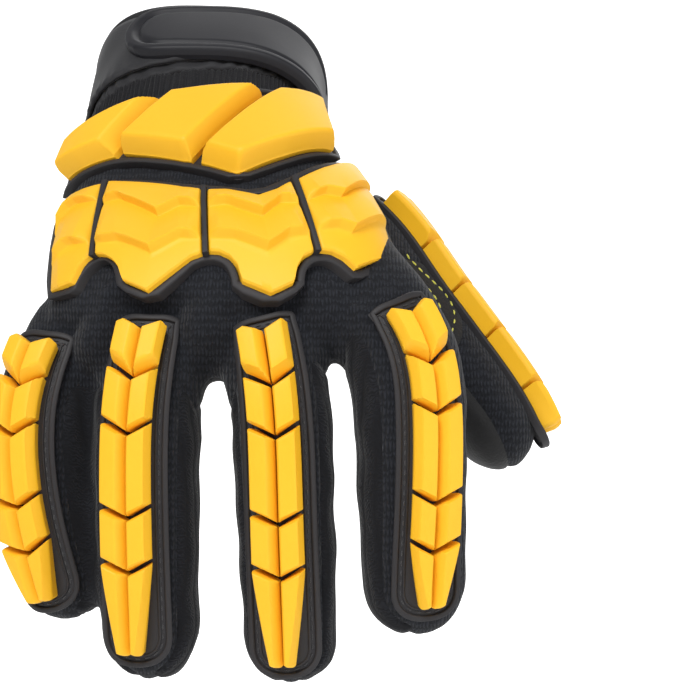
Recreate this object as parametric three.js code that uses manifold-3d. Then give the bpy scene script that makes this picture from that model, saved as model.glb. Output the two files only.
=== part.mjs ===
// Impact-resistant work glove for a right hand, in the shape it has when worn.
// Units are millimetres. The origin is the centre of the wrist opening. The backs of the fingers face -Y,
// the fingers point down along -Z, and the thumb is on the +X side. The cuff leans back, towards +Y.
import * as THREE from "three";
import Module from "manifold-3d";

const wasm = await Module();
wasm.setup();
const { Manifold } = wasm;

// Driving dimensions
const handLength = 138; // wrist opening to the roots of the fingers, along the middle of the hand
const knuckleWidth = 88; // across the four knuckles
const knuckleThickness = 31; // back of the hand to palm at the knuckles
const clothWall = 1.6; // knitted back, synthetic leather palm and finger walls
const cuffWall = 3; // smooth neoprene
const bindingWidth = 3.2; // rolled edge round the opening
const bindingStand = 0.7; // how far the rolled edge stands out from the cuff
const cuffEnd = 41; // from the opening to the lower edge of the cuff
const gatherEnd = 52; // from the opening to the lower edge of the gathered band
const gatherDip = 0.8; // how far the gathered band is drawn in
const gatherWall = 2;
const strapStart = 8; // from the opening to the strap's upper edge
const strapEnd = 38;
const strapWall = 1.5;
const tabThickness = 3; // moulded end of the strap, at its rim
const guardPlate = 1.5; // the thin dark base under every moulded block
const pieceGap = 0.3; // between pieces that lie on each other
const wristBarHeight = 6.2;
const knuckleBlockHeight = 5.6;
const fingerBlockHeight = 4.6;
const fingerBlockHalf = 5.5; // half the width of a finger block, measured round the cloth
const fingerPlateHalf = 8.6; // half the width of the base under it
const fingerPlateStart = 1.6; // base before the first block
const fingerPlateEnd = 3.4; // base after the last block
const blockSpacing = 1.1; // between two blocks in a row
const chevron = 3; // how much further the middle of a block reaches than its sides
const webRadius = 8.5; // roundness of the cloth between thumb and hand
const fingerBoxy = 2.3; // power of a finger's outline: 2 is an ellipse, more is squarer
const insideShare = 1 / 2; // how many sides the inside of the cloth has, for each side outside

// How the hand bends from the wrist opening to the finger roots. Pitch is the slope below level, in degrees,
// lean is the turn to +X and roll turns the back of the hand to +X.
const handBends = [
  { at: 0, pitch: 30, lean: -2, roll: 0 },
  { at: 0.3, pitch: 31, lean: 3, roll: -2 },
  { at: 0.5, pitch: 37, lean: 8, roll: -4 },
  { at: 0.72, pitch: 41, lean: 9, roll: -6 },
  { at: 0.86, pitch: 54, lean: 6, roll: -6 },
  { at: 1, pitch: 66, lean: 3, roll: -6 },
];

// Sections of the hand. Half is a share of knuckleWidth, up and down are shares of knuckleThickness, and
// boxy is the power of its outline: 2 is an ellipse, more is squarer.
const handSections = [
  { at: 0, half: 0.36, up: 0.79, down: 0.8, boxy: 2.9 },
  { at: 0.14, half: 0.352, up: 0.79, down: 0.82, boxy: 2.8 },
  { at: 0.32, half: 0.362, up: 0.72, down: 0.74, boxy: 2.6 },
  { at: 0.45, half: 0.395, up: 0.64, down: 0.7, boxy: 2.5 },
  { at: 0.6, half: 0.446, up: 0.58, down: 0.66, boxy: 2.4 },
  { at: 0.78, half: 0.488, up: 0.54, down: 0.56, boxy: 2.4 },
  { at: 0.9, half: 0.504, up: 0.5, down: 0.48, boxy: 2.4 },
  { at: 1, half: 0.5, up: 0.42, down: 0.42, boxy: 2.4 },
];

// Sections of a finger, as shares of half its width and half its thickness.
const fingerSections = [
  { at: 0, half: 0.9, up: 0.9, down: 0.9 },
  { at: 0.3, half: 1, up: 1, down: 1 },
  { at: 0.6, half: 0.96, up: 0.96, down: 0.98 },
  { at: 0.85, half: 0.91, up: 0.84, down: 0.88 },
  { at: 1, half: 0.87, up: 0.78, down: 0.8 },
];
const thumbSections = [
  { at: 0, half: 0.8, up: 0.6, down: 0.8 },
  { at: 0.3, half: 1.05, up: 1, down: 1.15 },
  { at: 0.6, half: 1, up: 1, down: 1.05 },
  { at: 0.85, half: 0.93, up: 0.9, down: 0.95 },
  { at: 1, half: 0.86, up: 0.82, down: 0.85 },
];

// Where each finger leaves the hand and how it bends. Ends are the places along it where blocks end.
const fingers = {
  index: {
    rootAt: 0.79, side: 34, rise: -1, length: 105, width: 29, thickness: 25,
    ends: [27, 37.6, 48.2, 68.6, 79.8, 96.5],
    bends: [
      { at: 0, pitch: 50, lean: 34, roll: 14 },
      { at: 0.22, pitch: 66, lean: 31, roll: 20 },
      { at: 0.42, pitch: 80, lean: 6, roll: 22 },
      { at: 0.7, pitch: 88, lean: 1, roll: 19 },
      { at: 1, pitch: 95, lean: 3, roll: 12 },
    ],
  },
  middle: {
    rootAt: 0.8, side: 12.9, rise: 1, length: 109, width: 26, thickness: 24,
    ends: [21.8, 33.8, 45, 65, 77.8, 102.4],
    bends: [
      { at: 0, pitch: 50, lean: 13, roll: -3 },
      { at: 0.22, pitch: 68, lean: 10, roll: -4 },
      { at: 0.45, pitch: 84, lean: 3, roll: -5 },
      { at: 0.72, pitch: 90, lean: 2, roll: -6 },
      { at: 1, pitch: 94, lean: 2, roll: -6 },
    ],
  },
  ring: {
    rootAt: 0.79, side: -9.7, rise: 0, length: 104, width: 27, thickness: 24,
    ends: [17.6, 28.6, 40.2, 59.3, 72.2, 95.6],
    bends: [
      { at: 0, pitch: 50, lean: -14, roll: -12 },
      { at: 0.22, pitch: 68, lean: -8, roll: -13 },
      { at: 0.45, pitch: 84, lean: 0, roll: -14 },
      { at: 0.72, pitch: 90, lean: 1, roll: -15 },
      { at: 1, pitch: 94, lean: 1, roll: -15 },
    ],
  },
  little: {
    rootAt: 0.75, side: -32, rise: -3, length: 88, width: 25.5, thickness: 23,
    ends: [19.6, 28.6, 38.2, 54, 64.8, 80.2],
    bends: [
      { at: 0, pitch: 50, lean: -26, roll: -24 },
      { at: 0.25, pitch: 68, lean: -18, roll: -27 },
      { at: 0.5, pitch: 84, lean: 2, roll: -26 },
      { at: 0.75, pitch: 90, lean: 12, roll: -26 },
      { at: 1, pitch: 94, lean: 18, roll: -26 },
    ],
  },
  thumb: {
    rootAt: 0.3, side: 18.5, rise: -8, length: 115, width: 27, thickness: 24, sections: thumbSections,
    ends: [32, 50, 66, 82.5, 99, 109.5],
    bends: [
      { at: 0, pitch: 76, lean: 54, roll: 70 },
      { at: 0.25, pitch: 72, lean: 43, roll: 80 },
      { at: 0.42, pitch: 68, lean: 33, roll: 86 },
      { at: 0.6, pitch: 71, lean: 37, roll: 90 },
      { at: 0.8, pitch: 68, lean: 36, roll: 92 },
      { at: 1, pitch: 70, lean: 18, roll: 92 },
    ],
  },
};

// Colours of the rubber and the cloths
const yellowRubber = { color: 0xffc02e, roughness: 0.55 };
const darkRubber = { color: 0x3c3a3c, roughness: 0.6 };
const knit = { color: 0x23262b, roughness: 0.95 };
const twill = { color: 0x17181b, roughness: 0.95 };
const leather = { color: 0x1b1b1c, roughness: 0.8 };
const neoprene = { color: 0x2f3033, roughness: 0.85 };

const degree = Math.PI / 180;
const quarter = Math.PI / 2;

// A smooth value between table rows: a cubic through them, with each row's slope taken from its neighbours.
function blend(rows, at, key) {
  const last = rows.length - 1;
  let k = 0;
  while (k < last - 1 && at > rows[k + 1].at) k += 1;
  const slope = (i) => {
    const a = rows[Math.max(i - 1, 0)];
    const b = rows[Math.min(i + 1, last)];
    return (b[key] - a[key]) / (b.at - a.at);
  };
  const gap = rows[k + 1].at - rows[k].at;
  const u = Math.min(Math.max((at - rows[k].at) / gap, 0), 1);
  const rest = 1 - u;
  return (
    rows[k][key] * (1 + 2 * u) * rest * rest +
    slope(k) * gap * u * rest * rest +
    rows[k + 1][key] * u * u * (3 - 2 * u) -
    slope(k + 1) * gap * u * u * rest
  );
}

// The three directions of a spine where it slopes down by pitch, leans to +X by lean and is rolled to +X.
function directions(pitch, lean, roll) {
  const [cp, sp] = [Math.cos(pitch * degree), Math.sin(pitch * degree)];
  const [cl, sl] = [Math.cos(lean * degree), Math.sin(lean * degree)];
  const onward = new THREE.Vector3(sp * sl, -cp, -sp * cl);
  const level = new THREE.Vector3(-cp * sl, -sp, cp * cl);
  const across = new THREE.Vector3().crossVectors(level, onward);
  const [cr, sr] = [Math.cos(roll * degree), Math.sin(roll * degree)];
  const up = level.clone().multiplyScalar(cr).addScaledVector(across, sr);
  const side = across.clone().multiplyScalar(cr).addScaledVector(level, -sr);
  return { onward, up, side };
}

// A spine: frames along a curve that starts at a point and follows its table of bends. It runs on straight
// for a little before its start and after its end.
function makeSpine(start, length, bends) {
  const steps = 80;
  const frames = [];
  const point = start.clone();
  for (let i = 0; i <= steps; i += 1) {
    const frame = directions(...["pitch", "lean", "roll"].map((key) => blend(bends, i / steps, key)));
    frames.push({ point: point.clone(), ...frame });
    point.addScaledVector(frame.onward, length / steps);
  }
  return (t) => {
    const place = Math.min(Math.max((t / length) * steps, 0), steps - 0.0001);
    const k = Math.floor(place);
    const mix = (key) => frames[k][key].clone().lerp(frames[k + 1][key], place - k);
    const beyond = t - (place / steps) * length;
    const onward = mix("onward");
    return { point: mix("point").addScaledVector(onward, beyond), onward, up: mix("up"), side: mix("side") };
  };
}

const handSpine = makeSpine(new THREE.Vector3(), handLength, handBends);
const hand = {
  length: handLength, frame: handSpine, tip: 10, sides: 24, stride: 13, rim: 5,
  section: (t) => ({
    power: blend(handSections, t / handLength, "boxy"),
    half: knuckleWidth * blend(handSections, t / handLength, "half"),
    up: knuckleThickness * blend(handSections, t / handLength, "up"),
    down: knuckleThickness * blend(handSections, t / handLength, "down"),
  }),
};

function makeFinger(row) {
  const root = handSpine(handLength * row.rootAt);
  const start = root.point.clone().addScaledVector(root.side, row.side).addScaledVector(root.up, row.rise);
  const sections = row.sections || fingerSections;
  return {
    length: row.length, frame: makeSpine(start, row.length, row.bends), tip: row.width / 2,
    sides: 12, stride: 18, rim: 1.2,
    section: (t) => ({
      power: fingerBoxy,
      half: (row.width / 2) * blend(sections, t / row.length, "half"),
      up: (row.thickness / 2) * blend(sections, t / row.length, "up"),
      down: (row.thickness / 2) * blend(sections, t / row.length, "down"),
    }),
  };
}
const tubes = { hand };
for (const [name, row] of Object.entries(fingers)) tubes[name] = makeFinger(row);

// A place on a section: angle 90 degrees is the middle of the back, 0 is the +X side.
function sectionPlace(tube, t, angle, out) {
  const { half, up, down, power } = tube.section(t);
  const [c, s] = [Math.cos(angle), Math.sin(angle)];
  const x = (half + out) * Math.sign(c) * Math.abs(c) ** (2 / power);
  const z = ((s > 0 ? up : down) + out) * Math.sign(s) * Math.abs(s) ** (2 / power);
  return [x, z];
}

// A point on a tube's skin, or lifted off it by out. A rounded tube closes to a dome at its end.
function skinPoint(tube, t, angle, out, rounded = true) {
  const u = Math.max((t - tube.length + tube.tip) / (tube.tip + out), 0);
  const close = rounded ? Math.max(1 - u ** fingerBoxy, 0) ** (1 / fingerBoxy) : 1;
  const [x, z] = sectionPlace(tube, t, angle, out);
  const f = tube.frame(t);
  return f.point.clone().addScaledVector(f.side, x * close).addScaledVector(f.up, z * close);
}

// The angle that lies a walk of w millimetres round the skin from the middle of the back.
function angleAt(tube, t, w) {
  const step = 1.5 * degree * Math.sign(w || 1);
  let angle = quarter;
  let [x, z] = sectionPlace(tube, t, angle, 0);
  let walked = 0;
  while (Math.abs(angle - quarter) < Math.PI) {
    const [nextX, nextZ] = sectionPlace(tube, t, angle - step, 0);
    const stride = Math.hypot(nextX - x, nextZ - z);
    if (walked + stride >= Math.abs(w)) return angle - (step * (Math.abs(w) - walked)) / stride;
    walked += stride;
    angle -= step;
    [x, z] = [nextX, nextZ];
  }
  return angle;
}

// A closed solid from points and triangles. The faces are turned out if they come out inside.
function makeSolid(points, triangles) {
  let volume = 0;
  for (const [a, b, c] of triangles) volume += points[a].dot(points[b].clone().cross(points[c]));
  const faces = volume > 0 ? triangles : triangles.map(([a, b, c]) => [a, c, b]);
  const vertProperties = new Float32Array(points.flatMap((p) => [p.x, p.y, p.z]));
  const mesh = new wasm.Mesh({ numProp: 3, vertProperties, triVerts: new Uint32Array(faces.flat()) });
  return new Manifold(mesh);
}

// A solid through rings of points that have equal counts, closed by a fan at each end.
function loft(rings, apex) {
  const count = rings[0].length;
  const last = rings.length - 1;
  const middle = (ring) => ring.reduce((sum, p) => sum.add(p), new THREE.Vector3()).divideScalar(count);
  const points = [...rings.flat(), middle(rings[0]), apex || middle(rings[last])];
  const triangles = [];
  for (let j = 0; j < count; j += 1) {
    const k = (j + 1) % count;
    for (let i = 0; i < last; i += 1) {
      const [a, b] = [i * count, (i + 1) * count];
      triangles.push([a + j, b + j, b + k], [a + j, b + k, a + k]);
    }
    triangles.push([points.length - 2, j, k], [points.length - 1, last * count + k, last * count + j]);
  }
  return makeSolid(points, triangles);
}

// Evenly spread values from one end to the other
const steps = (count) => Array.from({ length: count + 1 }, (_, i) => i / count);
const spread = (from, to, count) => steps(count).map((share) => from + (to - from) * share);
const stations = (tube, from, to) => spread(from, to, Math.max(1, Math.round((to - from) / tube.stride)));
const around = (sides) => spread(0.5, sides - 0.5, sides - 1).map((k) => (k / sides) * 2 * Math.PI);

// The solid inside a tube's skin at a lift of out. Without an end it runs to the closed tip. The inside of
// the cloth has fewer sides than its outside.
function tubeSolid(tube, out, from, to) {
  const end = to ?? tube.length - tube.tip;
  const stops = stations(tube, from, end);
  if (to === undefined) stops.push(end + 0.72 * (tube.tip + out));
  const angles = around(out < 0 ? tube.sides * insideShare : tube.sides);
  const rings = stops.map((t) => angles.map((angle) => skinPoint(tube, t, angle, out, to === undefined)));
  return loft(rings, to === undefined ? tube.frame(tube.length + out).point : undefined);
}

// A ring of even wall round a tube
function ringWall(tube, out, wall, from, to) {
  const stops = stations(tube, from, to);
  const ring = (t, lift) => around(tube.sides).map((angle) => skinPoint(tube, t, angle, lift, false));
  const rings = [...stops.map((t) => ring(t, out)), ...stops.toReversed().map((t) => ring(t, out - wall))];
  const triangles = [];
  rings.forEach((_, i) => {
    const [a, b] = [i * tube.sides, ((i + 1) % rings.length) * tube.sides];
    for (let j = 0; j < tube.sides; j += 1) {
      const k = (j + 1) % tube.sides;
      triangles.push([a + j, b + j, b + k], [a + j, b + k, a + k]);
    }
  });
  return makeSolid(rings.flat(), triangles);
}

// A wedge from a tube's middle line to just outside its skin, between two angles and two places along it.
// Grow widens it, in degrees at its sides and in quarter millimetres at its ends.
function wedge(tube, [a, b], [from, to], grow = 0) {
  const turn = Math.sign(b - a) * grow;
  const angles = spread(a - turn, b + turn, Math.max(2, Math.ceil(Math.abs(b - a) / 24)));
  return loft(spread(from - grow / 4, to + grow / 4, 4).map((t) => [
    tube.frame(t).point,
    ...angles.map((angle) => skinPoint(tube, t, angle * degree, tube.rim, false)),
  ]));
}

// The same grid with one more column between any two that lie far apart
function refine(grid) {
  const wide = grid[0].map((_, j) => j > 0 && Math.max(...grid.map((row) => row[j][0] - row[j - 1][0])) > 7);
  const middle = (a, b) => a.map((value, k) => (value + b[k]) / 2);
  const fill = (row, j) => (wide[j] ? [middle(row[j - 1], row[j]), row[j]] : [row[j]]);
  return grid.map((row) => row.flatMap((_, j) => fill(row, j)));
}

// A solid under a grid of places [w, t, lift], which stands on the tube down to a foot below its skin.
function relief(tube, grid, foot) {
  const place = ([w, t, lift]) => skinPoint(tube, t, angleAt(tube, t, w), lift, false);
  const [rows, columns] = [grid.length, grid[0].length];
  const points = [...grid.flat().map(place), ...grid.flat().map(([w, t]) => place([w, t, foot]))];
  const under = rows * columns;
  const at = (i, j) => i * columns + j;
  const triangles = [];
  const quad = (a, b, c, d) => triangles.push([a, b, c], [a, c, d]);
  for (let i = 0; i + 1 < rows; i += 1) {
    for (let j = 0; j + 1 < columns; j += 1) {
      const [a, b, c, d] = [at(i, j), at(i + 1, j), at(i + 1, j + 1), at(i, j + 1)];
      quad(a, b, c, d);
      quad(d + under, c + under, b + under, a + under);
    }
  }
  const rim = [];
  const [end, right] = [rows - 1, columns - 1];
  for (let i = 0; i < end; i += 1) rim.push([at(i + 1, 0), at(i, 0)], [at(i, right), at(i + 1, right)]);
  for (let j = 0; j < right; j += 1) rim.push([at(0, j), at(0, j + 1)], [at(end, j + 1), at(end, j)]);
  for (const [a, b] of rim) quad(a, b, b + under, a + under);
  return makeSolid(points, triangles);
}

// The cloth between thumb and index finger: a hull round four places.
function webSolid(out) {
  const places = [
    { tube: tubes.thumb, t: 44, side: 0, up: -1, radius: webRadius },
    { tube: tubes.thumb, t: 62, side: 0, up: -4, radius: webRadius - 1 },
    { tube: hand, t: 84, side: 34, up: -1, radius: webRadius },
    { tube: hand, t: 108, side: 39, up: -1, radius: webRadius - 1 },
  ];
  return Manifold.hull(places.map(({ tube, t, side, up, radius }) => {
    const f = tube.frame(t);
    const p = f.point.clone().addScaledVector(f.side, side).addScaledVector(f.up, up);
    return Manifold.sphere(radius + out, 12).translate(p.toArray());
  }));
}

// Everything inside the cloth's skin at a lift of out, from the gathered band to the fingertips.
const wristCut = tubeSolid(hand, 14, -12, gatherEnd + pieceGap);
const bodies = new Map();
function body(out) {
  if (!bodies.has(out)) {
    const parts = Object.values(tubes).map((tube) => tubeSolid(tube, out, tube === hand ? gatherEnd - 6 : 0));
    bodies.set(out, Manifold.union([...parts, webSolid(out)]));
  }
  return bodies.get(out);
}

// The largest body of a solid that a cut may have left with crumbs.
function largest(solid) {
  const parts = solid.decompose().sort((a, b) => b.volume() - a.volume());
  return parts[0];
}

// A piece is rid of facets that bend less than a tenth of a millimetre, and gives way to those already kept.
const pieces = [];
function keep(name, solid, look, others = []) {
  const plain = solid.asOriginal().simplify(0.1);
  const clear = others.length ? plain.subtract(Manifold.union(others.map((piece) => piece.solid))) : plain;
  pieces.push({ name, solid: largest(clear.asOriginal().simplify(0.01)), look });
}
const keepPanel = (name, solid, look) => keep(name, solid, look, pieces);

// Cloth: one shell, parted into panels with a gap along each seam
const shell = body(0).subtract(body(-clothWall)).subtract(wristCut);
const seamGap = 1.4; // degrees on each side of a seam, about the piece gap
const webAt = 30; // how far along a finger the cloth between two fingers starts
const side = { left: [142, 212], right: [38, -32] }; // angles of a side wall on a finger

// The two side walls that face each other and the cloth between their roots
function forkCut(leftFinger, rightFinger, grow) {
  const ends = [[leftFinger, side.right], [rightFinger, side.left]];
  const strip = ([name, angles]) => wedge(tubes[name], angles, [webAt, fingers[name].length + 3], grow);
  const root = ([name, angles]) => wedge(tubes[name], angles, [webAt - 6, webAt + 3], grow);
  return Manifold.union([...ends.map(strip), Manifold.hull(ends.map(root))]);
}
const forks = [["ring", "middle"], ["middle", "index"], ["little", "ring"]];
const forkCuts = (grow) => Manifold.union(forks.map(([a, b]) => forkCut(a, b, grow)));

// The palm side of the hand and of each finger. Beside a side wall its cut runs hidden under that wall.
function palmCut(grow) {
  const names = Object.keys(fingers).filter((name) => name !== "thumb");
  const halves = names.map((name) => wedge(tubes[name], [3, -183], [3, fingers[name].length + 3], grow));
  return Manifold.union([wedge(hand, [-10, -170], [gatherEnd - 8, handLength + 4], grow), ...halves]);
}

// The thumb stall is what stands clear of the hand
const handSkin = (out) => tubeSolid(hand, out, gatherEnd - 6);
const indexSkin = (out) => tubeSolid(tubes.index, out, 0);
const stallSpan = (out) => tubeSolid(tubes.thumb, out, 0);
const seamStand = 0.5; // how far the hand's side of the seam stands off the hand's skin
const palmAndIndex = (out) => handSkin(seamStand + out).add(indexSkin(seamStand + out));
const besideHand = shell.subtract(palmAndIndex(pieceGap));
const stall = besideHand.intersect(stallSpan(0.6));
const patch = besideHand.intersect(webSolid(0.6)).subtract(stallSpan(0.6 + pieceGap));
const handShell = shell.subtract(stallSpan(0.6).add(webSolid(0.6)).subtract(palmAndIndex(0)));
const stallPalm = (grow) => wedge(tubes.thumb, [-4, -184], [0, fingers.thumb.length + 3], grow);

keepPanel("back_panel", handShell.subtract(palmCut(seamGap)).subtract(forkCuts(seamGap)), knit);
keepPanel("palm_panel", handShell.intersect(palmCut(0)).subtract(forkCuts(seamGap)), leather);
for (const [a, b] of forks) keepPanel(`fork_wall_${a}_${b}`, handShell.intersect(forkCut(a, b, 0)), twill);
keepPanel("thumb_back", stall.subtract(stallPalm(seamGap)), knit);
keepPanel("thumb_palm", stall.intersect(stallPalm(0)), leather);
keepPanel("thumb_patch", patch, leather);

// Wrist: rolled edge, cuff, gathered band, strap
keep("cuff_binding", ringWall(hand, bindingStand, cuffWall + 2 * bindingStand, 0, bindingWidth), neoprene);
keep("cuff", ringWall(hand, 0, cuffWall, bindingWidth + pieceGap, cuffEnd), neoprene);
keep("gather_band", ringWall(hand, -gatherDip, gatherWall, cuffEnd + pieceGap, gatherEnd), knit);
keep("strap", ringWall(hand, pieceGap + strapWall, strapWall, strapStart, strapEnd), knit);

// The strap's moulded end: a rim, a groove inside it and a raised middle. It is narrow and round at its left
// end and slants down towards the thumb side.
const tabUnder = 2 * pieceGap + strapWall;
const tabColumns = [
  { w: -21, top: 19.5, bottom: 27, inner: 0 },
  { w: -19.5, top: 14.5, bottom: 31.5, inner: 0 },
  { w: -16, top: 11.5, bottom: 35, inner: 1 },
  { w: -6, top: 10.6, bottom: 37.4, inner: 1 },
  { w: 6, top: 10.8, bottom: 39.4, inner: 1 },
  { w: 18, top: 11.6, bottom: 41.4, inner: 1 },
  { w: 30, top: 13.5, bottom: 43.6, inner: 1 },
  { w: 40, top: 15, bottom: 44.5, inner: 0 },
  { w: 46, top: 16, bottom: 44.5, inner: 0 },
];
const tabRows = [
  { along: 0, lift: 0.6 }, { along: 0.04, lift: 1 }, { along: 0.11, lift: 1 }, { along: 0.15, lift: 0.65 },
  { along: 0.22, lift: 0.65, panel: 1 }, { along: 0.78, lift: 0.65, panel: 1 },
  { along: 0.85, lift: 0.65 }, { along: 0.89, lift: 1 }, { along: 0.96, lift: 1 }, { along: 1, lift: 0.6 },
];
const tabGrid = tabRows.map(({ along, lift, panel }) => tabColumns.map(({ w, top, bottom, inner }, j) => {
  const end = j === 0 || j === tabColumns.length - 1 ? 0.6 : 1;
  const raise = j === 1 ? 1 : lift + (panel && inner ? 0.3 : 0);
  return [w, top + (bottom - top) * along, tabUnder + tabThickness * Math.min(raise, end)];
}));
const strapSkin = tubeSolid(hand, tabUnder, 0, gatherEnd + 8);
keep("pull_tab", relief(hand, refine(tabGrid), -1).subtract(strapSkin), darkRubber);

// Guards. A base follows the cloth; the blocks on it follow the base.
const plateTop = pieceGap + guardPlate;
const blockFoot = plateTop + pieceGap;
const underPlate = body(pieceGap);
const plateSkin = body(plateTop).subtract(underPlate);
const underBlock = body(blockFoot);
function plate(name, tube, columns) {
  const over = 12; // well above the base's top
  const grid = steps(3).map((share) => columns.map(({ w, top, bottom }) => (
    [w, top + (bottom - top) * share, over]
  )));
  keep(name, relief(tube, grid, -8).intersect(plateSkin), darkRubber);
}
function block(name, tube, grid, follows) {
  const solid = relief(tube, refine(grid), follows ? -1 : blockFoot);
  keep(name, follows ? solid.subtract(underBlock) : solid, yellowRubber);
}

// The guards on the hand are drawn for a back of this length, from the gathered band to the root of the middle
// finger. Their places are fitted to the real back: above the root they stretch with it, below the root they
// stretch with the reach of the knuckle guard past it.
const guardPattern = 58.4;
const knuckleReach = 19.6;
const knuckleEdges = [
  { w: -40.5, top: 84.4, bottom: 114.6 }, { w: -37, top: 80.6, bottom: 116.6 },
  { w: -31.2, top: 79.6, bottom: 117.6 }, { w: -28, top: 80.2, bottom: 112.2 },
  { w: -22.8, top: 81.6, bottom: 111.4 }, { w: -19.9, top: 82.6, bottom: 120.6 },
  { w: -12.2, top: 86.8, bottom: 125.6 }, { w: -3.4, top: 92, bottom: 120.4 },
  { w: 3.6, top: 95.8, bottom: 118.4 }, { w: 7.8, top: 97.4, bottom: 125.6 },
  { w: 16.8, top: 101.6, bottom: 130 }, { w: 24.8, top: 98, bottom: 126.8 },
  { w: 29.4, top: 94.2, bottom: 120.8 }, { w: 37.2, top: 87.6, bottom: 124.8 },
  { w: 44, top: 81, bottom: 121.6 }, { w: 51, top: 80, bottom: 117.4 },
];
const lowestPattern = Math.max(...knuckleEdges.map(({ bottom }) => bottom)) - gatherEnd;
const backLength = handLength * fingers.middle.rootAt - gatherEnd;
function fitted(t) {
  const at = t - gatherEnd;
  const past = (at - guardPattern) / (lowestPattern - guardPattern);
  return gatherEnd + (past > 0 ? backLength + past * knuckleReach : (at * backLength) / guardPattern);
}
const fittedEdges = ({ w, top, bottom }) => ({ w, top: fitted(top), bottom: fitted(bottom) });

// Wrist guard: places are [w, t] round and along the cloth of the hand
plate("wrist_plate", hand, [
  { w: -41, top: 56.5, bottom: 69.6 }, { w: -35.5, top: 55.5, bottom: 71.4 }, { w: -26, top: 55, bottom: 73.8 },
  { w: -17.5, top: 55, bottom: 76.2 }, { w: -8, top: 55, bottom: 81.2 }, { w: 2.4, top: 55, bottom: 87.8 },
  { w: 12.8, top: 55, bottom: 96.2 }, { w: 24, top: 54.4, bottom: 92 }, { w: 33, top: 53.6, bottom: 86.2 },
  { w: 38, top: 53.2, bottom: 82.8 }, { w: 41.5, top: 54, bottom: 80 },
].map(fittedEdges));
const wristBars = [
  [[[-30, 60.6], [-34.8, 68.6]], [[-21, 60], [-28, 71.2]], [[-5.6, 58.6], [-18.7, 73.8]]],
  [[[-2.8, 59.2], [-16.3, 73.9]], [[8, 59.8], [-7.2, 79.6]], [[19.2, 60.2], [1.2, 85.2]]],
  [
    [[21.6, 61.4], [3.8, 86.6]], [[27, 59.4], [12.7, 94.2]],
    [[32, 57.4], [25, 88]], [[37.8, 55.8], [39.4, 78.6]],
  ],
];
// Rows run from the upper edge to the lower one: a small bevel above, a steep one below. Edge columns likewise.
const barRows = [
  { along: 0, lift: 0.55 }, { along: 0.07, lift: 1 }, { along: 0.87, lift: 1 }, { along: 1, lift: 0.1 },
];
wristBars.forEach((bar, n) => {
  const between = (a, b, share) => a.map((value, k) => value + (b[k] - value) * share);
  const inset = (a, b, share) => [between(a[0], b[0], share), between(a[1], b[1], share)];
  const end = bar.length - 1;
  const columns = [
    { line: bar[0], lift: 0.55 }, { line: inset(bar[0], bar[1], 0.12), lift: 1 },
    ...bar.slice(1, end).map((line) => ({ line, lift: 1 })),
    { line: inset(bar[end], bar[end - 1], 0.24), lift: 1 }, { line: bar[end], lift: 0.2 },
  ];
  const grid = barRows.map((row) => columns.map(({ line: [from, to], lift }) => [
    from[0] + (to[0] - from[0]) * row.along,
    fitted(from[1] + (to[1] - from[1]) * row.along),
    blockFoot + wristBarHeight * row.lift * lift,
  ]));
  block(`wrist_bar_${n + 1}`, hand, grid, true);
});

// Knuckle guard: four stepped blocks. Each column gives w at its upper and lower end, the top edge,
// two risers and the lower edge.
plate("knuckle_plate", hand, knuckleEdges.map(fittedEdges));
const knuckleBlocks = [
  [
    [-36.5, -38, 84.5, 91, 103.5, 114],
    [-33, -34.5, 82.6, 88.6, 102.8, 115.4],
    [-29.5, -30.8, 82, 87, 102.2, 115.8],
    [-25.6, -28.2, 83, 88, 103.4, 111.6],
    [-20.9, -25.3, 84.7, 90.4, 105, 109.8],
  ],
  [
    [-19.2, -24, 84.9, 92.4, 105.9, 109.9],
    [-14.2, -17.9, 88, 94.6, 108.4, 119.4],
    [-4.6, -12.2, 94, 103.9, 114.1, 124],
    [-1.2, -3.4, 96.2, 102.2, 111.7, 118.9],
    [3.4, 1.5, 98.8, 104.2, 113, 117.1],
  ],
  [
    [5, 3.2, 99.6, 104.6, 113.3, 116.9],
    [10.6, 10, 101.4, 106, 114.8, 122.6],
    [16.6, 16.5, 104.4, 109.7, 118.3, 128.4],
    [21.2, 22.6, 103, 106.6, 115.4, 125],
    [24.6, 27.4, 101, 107, 115.3, 119.5],
  ],
  [
    [26.2, 28.9, 100.4, 106.6, 114.1, 119.3],
    [30.4, 34.4, 97, 104.4, 113.3, 120.4],
    [34.8, 36.8, 93, 104.6, 114.1, 123],
    [41, 43.4, 86, 97, 109, 119.4],
    [45.4, 49, 83.4, 91.8, 105.2, 115.8],
  ],
];
const knuckleSteps = [
  { after: 0, add: 0, lift: 0.15 }, { after: 0, add: 0.7, lift: 0.34 }, { after: 1, add: 0, lift: 0.8 },
  { after: 1, add: 1.1, lift: 0.46 }, { after: 2, add: 0, lift: 0.92 }, { after: 2, add: 1.1, lift: 0.52 },
  { after: 3, add: -2.8, lift: 1 }, { after: 3, add: 0, lift: 0.2 },
];
knuckleBlocks.forEach((rows, n) => {
  const inset = (a, b) => a.map((value, k) => value + (b[k] - value) * 0.18);
  const columns = [
    { row: rows[0], edge: 0.7 }, { row: inset(rows[0], rows[1]), edge: 1 },
    ...rows.slice(1, 4).map((row) => ({ row, edge: 1 })),
    { row: inset(rows[4], rows[3]), edge: 1 }, { row: rows[4], edge: 0.7 },
  ];
  const grid = knuckleSteps.map(({ after, add, lift }) => columns.map(({ row, edge }) => {
    const [fromW, toW, ...places] = row;
    const stops = places.map(fitted);
    const t = stops[after] + add;
    const w = fromW + ((toW - fromW) * (t - stops[0])) / (stops[3] - stops[0]);
    return [w, t, blockFoot + knuckleBlockHeight * lift * edge];
  }));
  block(`knuckle_block_${n + 1}`, hand, grid, true);
});

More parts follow.
